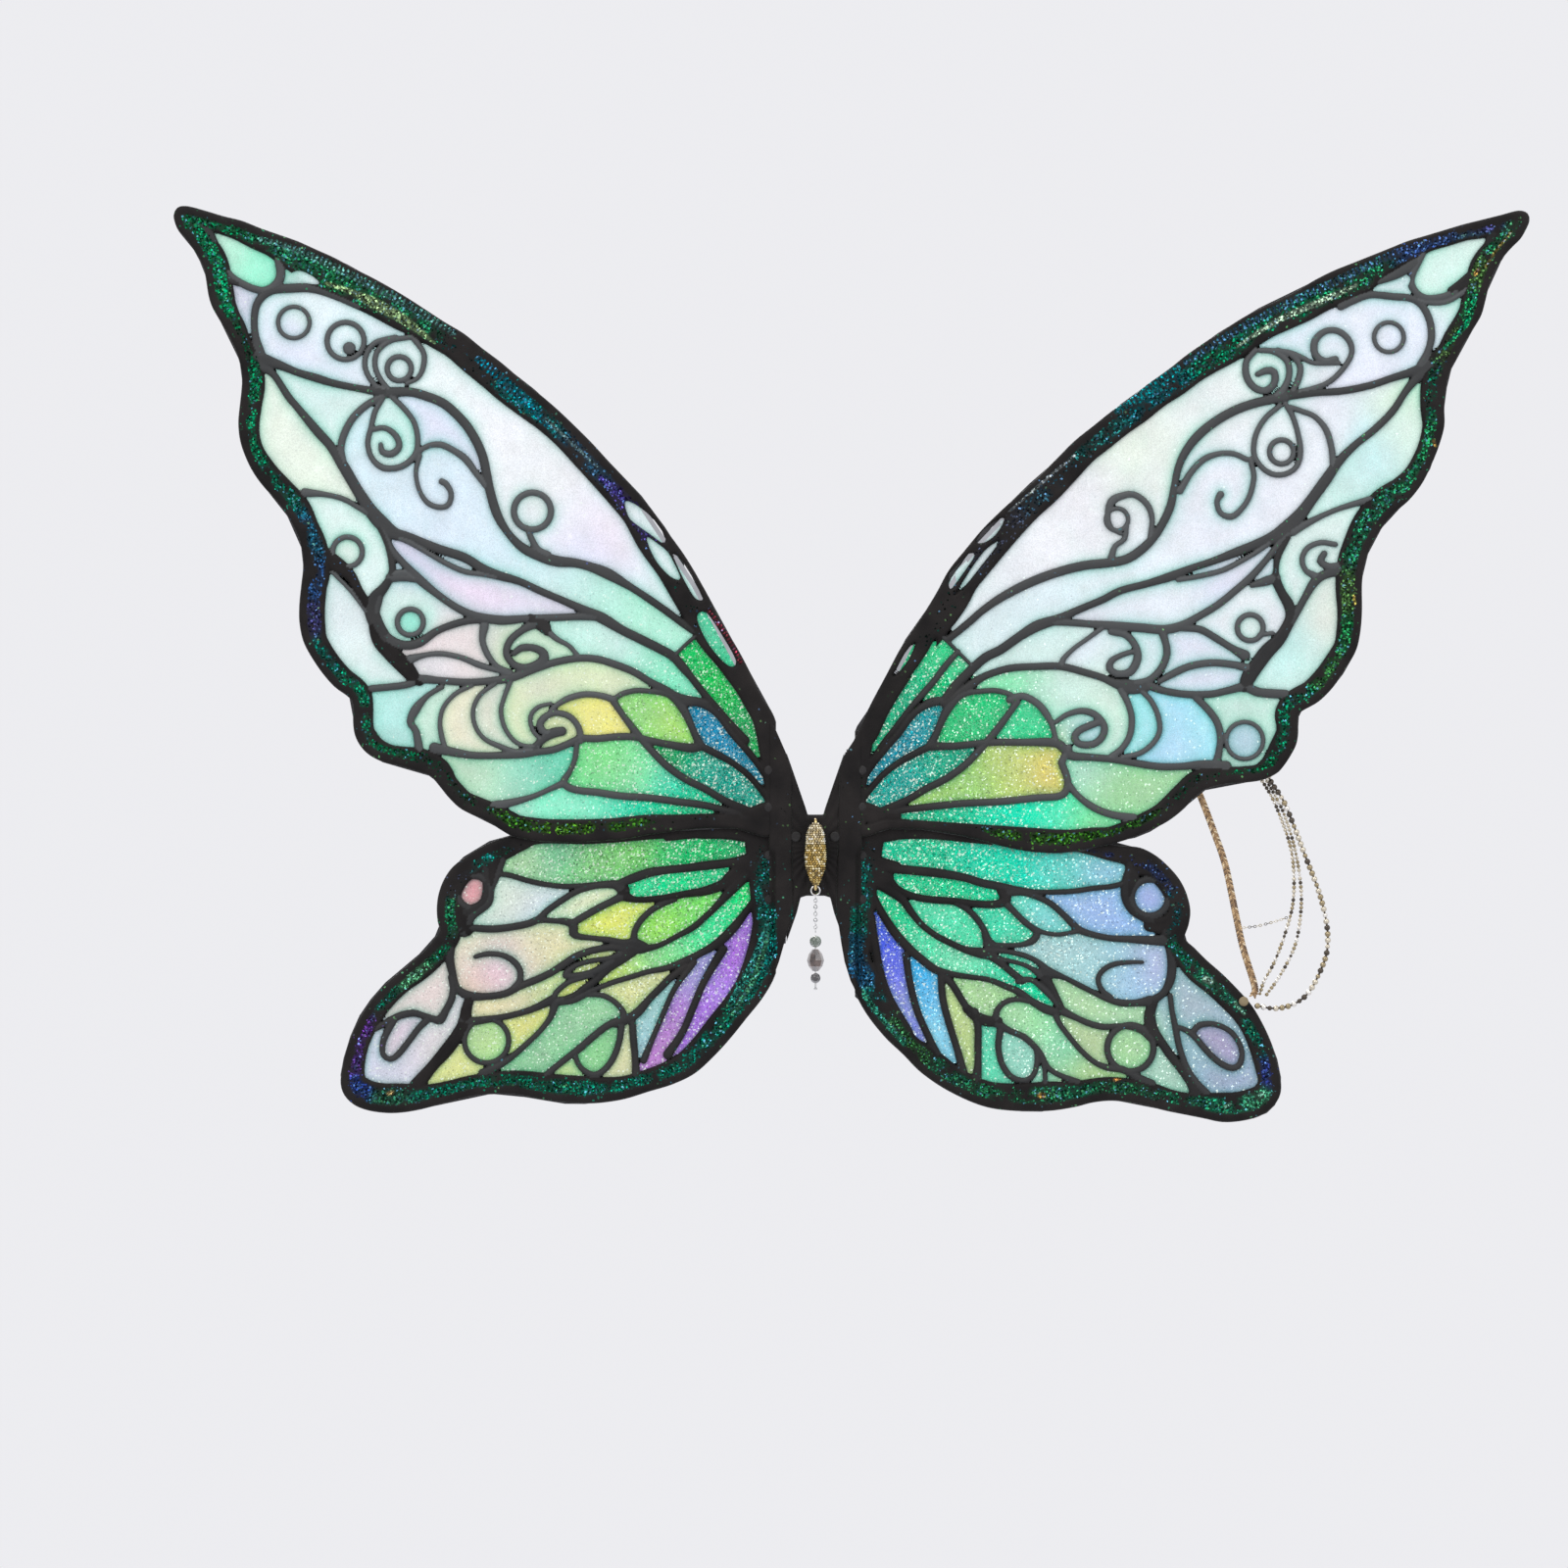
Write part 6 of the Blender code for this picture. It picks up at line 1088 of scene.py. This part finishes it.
def thorax():
    """The black centre the four wings meet at."""
    half = [(4.2, 10.0), (5.4, 14.0), (10.2, 28.0), (15.6, 43.5), (15.6, -59.0), (10.0, -43.0),
            (8.0, -35.0), (5.0, -34.0)][::-1]
    loop = half + [(-x, z) for x, z in half[::-1]]
    fine = []
    for a, b in zip(loop, loop[1:] + loop[:1]):
        n = max(1, int(math.hypot(b[0] - a[0], b[1] - a[1]) / 2))
        fine += [(a[0] + (b[0] - a[0]) * k / n, a[1] + (b[1] - a[1]) * k / n) for k in range(n)]
    rim = np.array(fine)
    grid = Grid(rim.min(axis=0), rim.max(axis=0), STEP)
    field = grid.inside(rim)
    edge_y, crown, edge_round = -0.6, 2.7, 2.5
    t = np.clip(field / edge_round, 0, 1)
    y = edge_y - crown * rounded(t)
    # Shallow creases fan out from the middle.
    fold = 0.25 * np.sin(np.arctan2(grid.z + 8, np.abs(grid.x) + 1.0) * 26.0)
    y = y - fold * t
    color = np.zeros((*field.shape, 4))
    return slab("thorax_flock", grid, field, y, 0.0, MATS["flock"], color)


def hinge_cover(side):
    """A strip of the same flocked cloth over the hinge line."""
    if side < 0:
        loop = [(-13, 35), (-15.8, 43), (-20.6, 54), (-24.4, 62), (-25, 60), (-25, -83),
                (-23.2, -79), (-19.7, -69.5), (-17, -60), (-14, -50), (-12, -46)]
        word, outline, inlays = "left", LEFT_HIND_EDGE, LEFT_HIND_INLAY
    else:
        loop = [(13, 35), (15.8, 42.6), (20.4, 49.6), (24, 56.2), (25, 56), (25, -92),
                (23.2, -88.6), (18.8, -79.5), (15.7, -69.5), (14, -60), (12.5, -50), (11, -46)]
        word, outline, inlays = "right", RIGHT_HIND_EDGE, RIGHT_HIND_INLAY
    rim = np.array(loop)
    grid = Grid(rim.min(axis=0), rim.max(axis=0), STEP)
    field = grid.inside(rim, 20.0)
    out = side * grid.x
    round_up = rounded(np.clip(field / 1.2, 0, 1))
    # It lies on the fore wings' roots above, and steps back on to the hind wings' below.
    low = np.clip((-6.0 - grid.z) / 8.0, 0, 1)
    low = low * low * (3 - 2 * low)
    step = np.clip((out - 20.8) / 3.4, 0, 1)
    upper_back, step_back = -3.45, 3.95
    back = upper_back + low * step * step * (3 - 2 * step) * step_back
    back += 0.5 * np.clip((out - 22.6) / 1.6, 0, 1)
    front = back - 0.15 - 0.55 * round_up - 0.12 * hash_noise(grid.x, grid.z, 4.0, 9)
    # The hind wing's rim glitter goes on over its lower end.
    edge = smooth_run(table_of(outline), RUN_STEP, True)
    edge[:, 2] = 0
    d = -grid.stroke(edge, RIM_REACH, closed=True)
    tints = blended(grid.x, grid.z, table_of(inlays), 5.0, 4.0)
    band = np.clip((d - 3.2) / 1.6, 0, 1) * np.clip((14.5 - d) / 2.5, 0, 1)
    band *= np.clip((-36 - grid.z) / 8, 0, 1)
    tint = np.dstack([tints[..., :3], tints[..., 3] * band])
    made = slab(word + "_hinge_cover", grid, field, front, back, MATS["flock"], tint)
    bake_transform(made)


def barrels():
    """The hinge knuckles that are part of the core."""
    radius, end_radius, gap, chamfer_end, axis_y = 2.5, 2.2, 0.2, 0.5, -0.5
    parts = []
    for x in (-HINGE_X, HINGE_X):
        for low, high in zip(KNUCKLES[:-1:2], KNUCKLES[1::2]):
            half = [(0, low + gap), (end_radius, low + gap), (radius, low + chamfer_end)]
            other = [(radius, high - chamfer_end), (end_radius, high - gap), (0, high - gap)]
            parts.append(turned(half + other, (x, axis_y, 0), 24))
    made = gather("thorax_barrels", parts, "plastic")
    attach(made, "harness")


def bevelled(node, mat, width, segments=2):
    """A CAD piece shown as it is, with its edges eased."""
    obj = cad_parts[node]
    obj.data.materials.clear()
    obj.data.materials.append(MATS[mat])
    if width:
        mod = obj.modifiers.new("edges", "BEVEL")
        mod.width = width * MM
        mod.segments = segments
        mod.limit_method = "ANGLE"
        mod.angle_limit = math.radians(35)
    for poly in obj.data.polygons:
        poly.use_smooth = True
    sharp = obj.modifiers.new("smooth", "EDGE_SPLIT")
    sharp.split_angle = math.radians(40)
    return obj


def ball(steps, rings):
    """A unit ball as points and quads."""
    pts = [(0, 0, -1)]
    for r in range(1, rings):
        a = math.pi * r / rings - math.pi / 2
        pts += [(math.cos(a) * math.cos(2 * math.pi * k / steps),
                 math.cos(a) * math.sin(2 * math.pi * k / steps), math.sin(a))
                for k in range(steps)]
    pts.append((0, 0, 1))
    faces = []
    for k in range(steps):
        m = (k + 1) % steps
        faces.append((0, 1 + m, 1 + k, 0))
        for r in range(rings - 2):
            a, b = 1 + r * steps, 1 + (r + 1) * steps
            faces.append((a + k, a + m, b + m, b + k))
        top = 1 + (rings - 2) * steps
        faces.append((top + k, top + m, len(pts) - 1, len(pts) - 1))
    return np.array(pts, float), faces


def gather(name, parts, mat):
    """One mesh from several lists of points and faces, in millimetres, each with its own tone."""
    points, faces, base, tones = [], [], 0, []
    for number, (pts, fcs) in enumerate(parts):
        points.append(pts)
        faces += [tuple(base + i for i in dict.fromkeys(f)) for f in fcs]
        base += len(pts)
        tone = math.sin(number * 12.9898 + 4.1) * 43758.5453
        tones += [tone - math.floor(tone)] * len(pts)
    pts = np.vstack(points)
    pts[:, 1] -= BACK
    mesh = bpy.data.meshes.new(name)
    mesh.from_pydata([tuple(p) for p in pts * MM], [], faces)
    mesh.update()
    for poly in mesh.polygons:
        poly.use_smooth = True
    layer = mesh.attributes.new("tone", "FLOAT", "POINT")
    layer.data.foreach_set("value", np.array(tones, np.float32))
    obj = bpy.data.objects.new(name, mesh)
    bpy.context.scene.collection.objects.link(obj)
    mesh.materials.append(MATS[mat])
    return obj


def seed_beads(name, high, low, radius_at, mat, y, grain):
    """Tiny beads wound all over a spindle."""
    unit, faces = ball(8, 6)
    row_gap, bead_gap, margin = grain * 1.55, grain * 1.85, grain * 0.7
    parts = []
    rows = int((high - low) / row_gap)
    for r in range(rows + 1):
        z = low + margin + (high - low - 2 * margin) * r / rows
        radius = radius_at((z - low) / (high - low))
        around = max(5, int(2 * math.pi * radius / bead_gap))
        for k in range(around):
            turn = 2 * math.pi * (k + 0.5 * (r % 2)) / around
            jitter = 1 + 0.08 * math.sin(r * 12.9 + k * 78.2)
            at = (radius * math.cos(turn), y + radius * math.sin(turn), z)
            parts.append((unit * grain * jitter * (1, 1, 0.86) + at, faces))
    core = [(radius_at(k / 8) * 0.92, low + (high - low) * k / 8) for k in range(9)]
    parts.append(turned([(0, low)] + core + [(0, high)], (0, y, 0), 16))
    return gather(name, parts, mat)


def turned(profile, centre, steps):
    """A profile of radius and height turned about an upright axis, as points and faces."""
    pts, rows, faces = [], [], []
    for radius, height in profile:
        if radius <= 0:
            rows.append([len(pts)])
            pts.append((0.0, 0.0, height))
        else:
            rows.append(list(range(len(pts), len(pts) + steps)))
            pts += [(radius * math.cos(2 * math.pi * k / steps),
                     radius * math.sin(2 * math.pi * k / steps), height) for k in range(steps)]
    for low, high in zip(rows, rows[1:]):
        for k in range(steps):
            m = (k + 1) % steps
            faces.append((low[k % len(low)], low[m % len(low)], high[m % len(high)],
                          high[k % len(high)]))
    return np.array(pts) + np.array(centre, float), faces


def ring_part(centre, radius, wire, up, side, steps, sides, stretch=1.0):
    """A round or oval wire ring lying in the plane of the two directions."""
    up, side = np.array(up, float), np.array(side, float)
    up, side = up / np.linalg.norm(up), side / np.linalg.norm(side)
    axis = np.cross(up, side)
    pts, faces = [], []
    for k in range(steps):
        a = 2 * math.pi * k / steps
        out = up * math.cos(a) * stretch + side * math.sin(a)
        for m in range(sides):
            b = 2 * math.pi * m / sides
            lean = out / np.linalg.norm(out)
            pts.append(centre + radius * out + wire * (math.cos(b) * lean + math.sin(b) * axis))
    for k in range(steps):
        n = (k + 1) % steps
        for m in range(sides):
            q = (m + 1) % sides
            faces.append((k * sides + m, n * sides + m, n * sides + q, k * sides + q))
    return np.array(pts), faces


def tube_part(path, radius, sides):
    """A round tube along a path, with its ends closed."""
    pts = np.array(path, float)
    ahead = np.gradient(pts, axis=0)
    out, faces = [], []
    up = None
    for p, d in zip(pts, ahead):
        d = d / np.linalg.norm(d)
        if up is None:
            seed = np.array((0, 0, 1.0)) if abs(d[2]) < 0.9 else np.array((1.0, 0, 0))
            up = np.cross(seed, d)
        up = up - d * (up @ d)
        up /= np.linalg.norm(up)
        side = np.cross(d, up)
        out += [p + radius * (math.cos(2 * math.pi * k / sides) * up
                              + math.sin(2 * math.pi * k / sides) * side) for k in range(sides)]
    for i in range(len(pts) - 1):
        for k in range(sides):
            m = (k + 1) % sides
            faces.append((i * sides + k, i * sides + m, (i + 1) * sides + m, (i + 1) * sides + k))
    last = (len(pts) - 1) * sides
    faces.append(tuple(range(sides))[::-1])
    faces.append(tuple(range(last, last + sides)))
    return np.array(out), faces


def cluster():
    """A spindle wound with seed beads, in three lengths of deepening gold."""

    def belly(z):
        return float(np.interp(z, (-28, -26, -22, -18.4, -12, -6.2, -1, 3, 5.6),
                               (1.0, 2.2, 3.6, 4.9, 5.4, 4.9, 4.5, 3.2, 1.2)))

    for node, mat, slot, high, low in (
        ("cluster_top_bead", "champagne", "champagne_bead", 5.6, -6.0),
        ("cluster_middle_bead", "gold", "gold_bead", -6.2, -18.3),
        ("cluster_lower_bead", "old_gold", "old_gold_bead", -18.5, -28.0),
    ):
        made = seed_beads(node + "_beads", high, low,
                          lambda t, a=low, b=high: belly(a + (b - a) * t), mat, CLUSTER_Y,
                          CLUSTER_SEED)
        take_place(made, "harness", slot, node)


def dangle():
    """A ring, a chain, three glass beads and the headpin they hang on."""
    y = DANGLE_Y
    up = (0, 0, 1)
    ring = ring_part(np.array((0, y, -31.0)), 2.4, 0.5, up, (1, 0, 0), 28, 10)
    made = gather("dangle_ring_wire", [ring], "silver")
    take_place(made, "dangle", "silver_chain", "dangle_ring")
    # Every fourth link of the chain is a small ball.
    z, chain_end, link_drop, ball_drop = -34.6, -54.0, 1.75, 1.9
    unit, faces = ball(10, 8)
    parts = []
    while z > chain_end:
        if len(parts) % 4 == 3:
            parts.append((unit * 1.15 + (0, y, z), faces))
            z -= ball_drop
        else:
            side = (1, 0, 0) if len(parts) % 2 else (0, 1, 0)
            parts.append(ring_part(np.array((0, y, z)), 0.85, 0.26, up, side, 14, 6, 1.35))
            z -= link_drop
    made = gather("dangle_chain_links", parts, "silver")
    take_place(made, "dangle", "silver_chain", "dangle_chain")
    middle, half, radius = -58.5, 3.1, 3.2
    oval = [(0, -55.4)] + [(radius * math.sin(math.pi * k / 16) ** 0.8 + 0.02,
                            middle + half * math.cos(math.pi * k / 16)) for k in range(1, 16)]
    made = gather("dangle_oval_glass", [turned(oval + [(0, -61.6)], (0, y, 0), 28)], "oval")
    take_place(made, "dangle", "grey_green_glass", "dangle_oval_bead")
    rows = ((0, -62.4), (1.6, -62.6), (3.6, -65.2), (4.6, -68.5), (3.7, -71.8), (1.6, -74.4),
            (0, -74.6))
    made = gather("dangle_crystal_glass", [turned(rows, (0, y, 0), 8)], "crystal")
    for poly in made.data.polygons:
        poly.use_smooth = False
    take_place(made, "dangle", "smoky_crystal", "dangle_crystal")
    middle, half, radius = -78.2, 2.8, 2.75
    drop = [(0, -75.4)] + [(radius * math.sin(math.pi * k / 14),
                            middle + half * math.cos(math.pi * k / 14)) for k in range(1, 14)]
    made = gather("dangle_drop_glass", [turned(drop + [(0, -81.0)], (0, y, 0), 24)], "dark_glass")
    take_place(made, "dangle", "dark_glass", "dangle_drop_bead")
    bevelled("dangle_headpin", "silver", 0.12)


SWAGS = {
    "swag_braid": (4.4, ((205, 27, 3.7), (209, 18.6, 3.7), (216, 0, 3.4), (222, -18, 2.6),
                         (228, -47, 1.2), (231.5, -63, 0.2), (237.5, -83, -1.0), (236.5, -88, -1.4))),
    "swag_outer_beads": (3.0, ((244, 34, 3.0), (247, 27, 3.0), (253.3, 17.5, 3.0),
                               (259.7, 2.1, 3.0), (265.5, -13.3, 3.0), (272.4, -31.3, 3.0),
                               (276.7, -48.8, 3.0), (277.2, -62, 3.0), (274.5, -72, 2.8),
                               (267.7, -85.3, 2.2), (259.7, -92.2, 1.4), (249.1, -94.9, 0.4),
                               (239, -93.5, -0.6))),
    "swag_inner_beads": (2.0, ((241, 30, 7.0), (246, 22, 7.0), (250.2, 13.3, 6.8), (257, -5.8, 6.2),
                               (259.2, -21.2, 5.6), (258.6, -38.7, 5.0), (254.4, -54.6, 4.4),
                               (248.5, -70, 3.8), (243, -80, 3.4), (240.6, -87, 2.6))),
    "swag_middle_beads": (2.0, ((244, 30, 10.0), (249, 21, 10.0), (254.4, 10, 9.8),
                                (260.2, -9, 9.2), (263.4, -30.2, 8.6), (262.9, -46.6, 8.0),
                                (259.7, -62, 7.2), (252, -77, 6.2), (244.5, -87.5, 5.0))),
    "swag_cross_chain": (1.4, ((231.9, -51.2, 1.2), (239, -50.4, 1.8), (248.6, -48.0, 3.0),
                               (255.0, -46.0, 4.6))),
}


def heading(at, s, length):
    """The way a cord runs at a length along it."""
    return at(min(length, s + 0.5)) - at(max(0.0, s - 0.5))


def core_thread(at, length, radius):
    """The thread inside a cord."""
    return tube_part([at(length * k / 60) for k in range(61)], radius, 6)


def braid_parts(at, length):
    """Two rows of slanted stitches, like an ear of wheat, along a core."""
    unit, faces = ball(8, 6)
    rear = np.array((0, 1, 0))
    count = int(length / 1.15)
    parts = []
    for k in range(count + 1):
        s = length * k / count
        d = heading(at, s, length)
        d /= np.linalg.norm(d)
        across = np.cross(d, rear)
        across /= np.linalg.norm(across)
        for way in (-1, 1):
            lean = d * 0.80 + across * 0.60 * way
            flat = across * 0.80 - d * 0.60 * way
            stitch = np.array([lean * 1.45, flat * 0.62, rear * 0.85])
            parts.append((unit @ stitch + at(s) + across * way * 0.98, faces))
    return parts + [core_thread(at, length, 0.8)]


def link_parts(at, length):
    """Oval links, each turned a quarter round from the last."""
    count = int(length / 1.5)
    parts = []
    for k in range(count + 1):
        s = length * k / count
        d = heading(at, s, length)
        side = (0, 1, 0) if k % 2 else np.cross(d, (0, 1, 0))
        parts.append(ring_part(at(s), 0.62, 0.2, d, side, 10, 6, 1.3))
    return parts


def strung_parts(at, length, radius):
    """Beads on a thread, with every fifth one smaller."""
    unit, faces = ball(8, 6)
    count = int(length / (2 * radius * 1.12))
    parts = []
    for k in range(count + 1):
        size = radius * (1.12 if k % 5 else 0.9)
        parts.append((unit * size + at(length * k / count), faces))
    return parts + [core_thread(at, length, radius * 0.42)]


def swags():
    for name, (diameter, points) in SWAGS.items():
        run = smooth_run(points, 1.0, False)[:, [0, 2, 1]]
        gone = np.concatenate([[0], np.cumsum(np.linalg.norm(np.diff(run, axis=0), axis=1))])
        length = gone[-1]

        def at(s, run=run, gone=gone):
            return np.array([np.interp(s, gone, run[:, k]) for k in range(3)])

        if name == "swag_braid":
            parts, mat, slot = braid_parts(at, length), "braid", "gold_braid"
        elif name == "swag_cross_chain":
            parts, mat, slot = link_parts(at, length), "chain", "brass_chain"
        else:
            parts, mat, slot = strung_parts(at, length, diameter / 2), "chain", "brass_chain"
        made = gather(name + "_chain", parts, mat)
        take_place(made, "right_wings", slot, name)
        run[:, 1] -= BACK


def harness():
    """The pieces shown as the CAD has them."""
    for word in ("left", "right"):
        bevelled(f"{word}_strap", "elastic", 0.35, 3)
        bevelled(f"{word}_strap_slider", "plastic", 0.5, 3)
        bevelled(f"{word}_wing_leaf", "paint", 0.2)
        bevelled(f"{word}_hinge_pin", "pin", 0.15)
        for wing_name in ("fore", "hind"):
            bevelled(f"{word}_{wing_name}_backing", "backing", 0.2, 1)
            bevelled(f"{word}_{wing_name}_edge_wire", "steel", 0.15, 1)
            for k in (1, 2):
                bevelled(f"{word}_{wing_name}_rivet_{k}", "cap", 0.1)
    bevelled("core_block", "plastic", 0.4, 3)
    bevelled("harness_plate", "plastic", 0.4, 3)
    bevelled("back_pad", "felt", 1.0, 4)
    bevelled("bead_staple", "wire", 0.0)
    for k in (1, 2):
        bevelled(f"root_screw_{k}", "cap", 0.15)
        bevelled(f"swag_top_stud_{k}", "brass", 0.4, 3)
    bevelled("swag_gather_stud", "brass", 0.4, 3)


def stage():
    """A grey floor far below, a bright room, four lamps and the camera, in metres."""
    half, low = 4, -1.0
    mesh = bpy.data.meshes.new("floor")
    mesh.from_pydata([(-half, -half, low), (half, -half, low), (half, half, low),
                      (-half, half, low)], [], [(0, 1, 2, 3)])
    floor = bpy.data.objects.new("floor", mesh)
    bpy.context.scene.collection.objects.link(floor)
    mat = bpy.data.materials.new("floor_look")
    mat.use_nodes = True
    shader = mat.node_tree.nodes["Principled BSDF"]
    shader.inputs["Base Color"].default_value = (0.70, 0.70, 0.73, 1)
    shader.inputs["Roughness"].default_value = 0.7
    mesh.materials.append(mat)
    world = bpy.data.worlds.new("studio")
    bpy.context.scene.world = world
    world.use_nodes = True
    background = world.node_tree.nodes["Background"]
    background.inputs[0].default_value = (0.87, 0.87, 0.90, 1)
    background.inputs[1].default_value = 0.97
    for name, place, size, power, color in (
        ("key", (-1.4, -2.2, 1.9), 1.2, 24, (1.0, 0.99, 0.97)),
        ("fill", (1.9, -2.0, 0.9), 1.5, 12, (0.96, 0.98, 1.0)),
        ("top", (0.2, -0.3, 2.2), 0.9, 9, (1, 1, 1)),
        ("rear", (-0.6, 2.4, 1.4), 1.4, 16, (1, 1, 1)),
    ):
        light = bpy.data.lights.new(name, "AREA")
        light.size, light.energy, light.color = size, power, color
        lamp = bpy.data.objects.new(name, light)
        lamp.location = place
        lamp.rotation_mode = "QUATERNION"
        lamp.rotation_quaternion = (-Vector(place)).to_track_quat("-Z", "Y")
        bpy.context.scene.collection.objects.link(lamp)
    sensor, distance, view_width = 36.0, 3.0, 0.848
    cam_data = bpy.data.cameras.new("camera")
    cam_data.sensor_width = sensor
    cam_data.lens = sensor * distance / view_width
    cam = bpy.data.objects.new("camera", cam_data)
    cam.location = (-0.017, -distance - BACK * MM, 0.0265)
    cam.rotation_euler = (math.radians(90), 0, 0)
    bpy.context.scene.collection.objects.link(cam)
    bpy.context.scene.camera = cam
    bpy.context.scene.view_settings.view_transform = "Standard"


build_wings()
take_place(thorax(), "harness", "black_plastic", "thorax_plate")
barrels()
hinge_cover(-1)
hinge_cover(1)
cluster()
dangle()
swags()
harness()
stage()
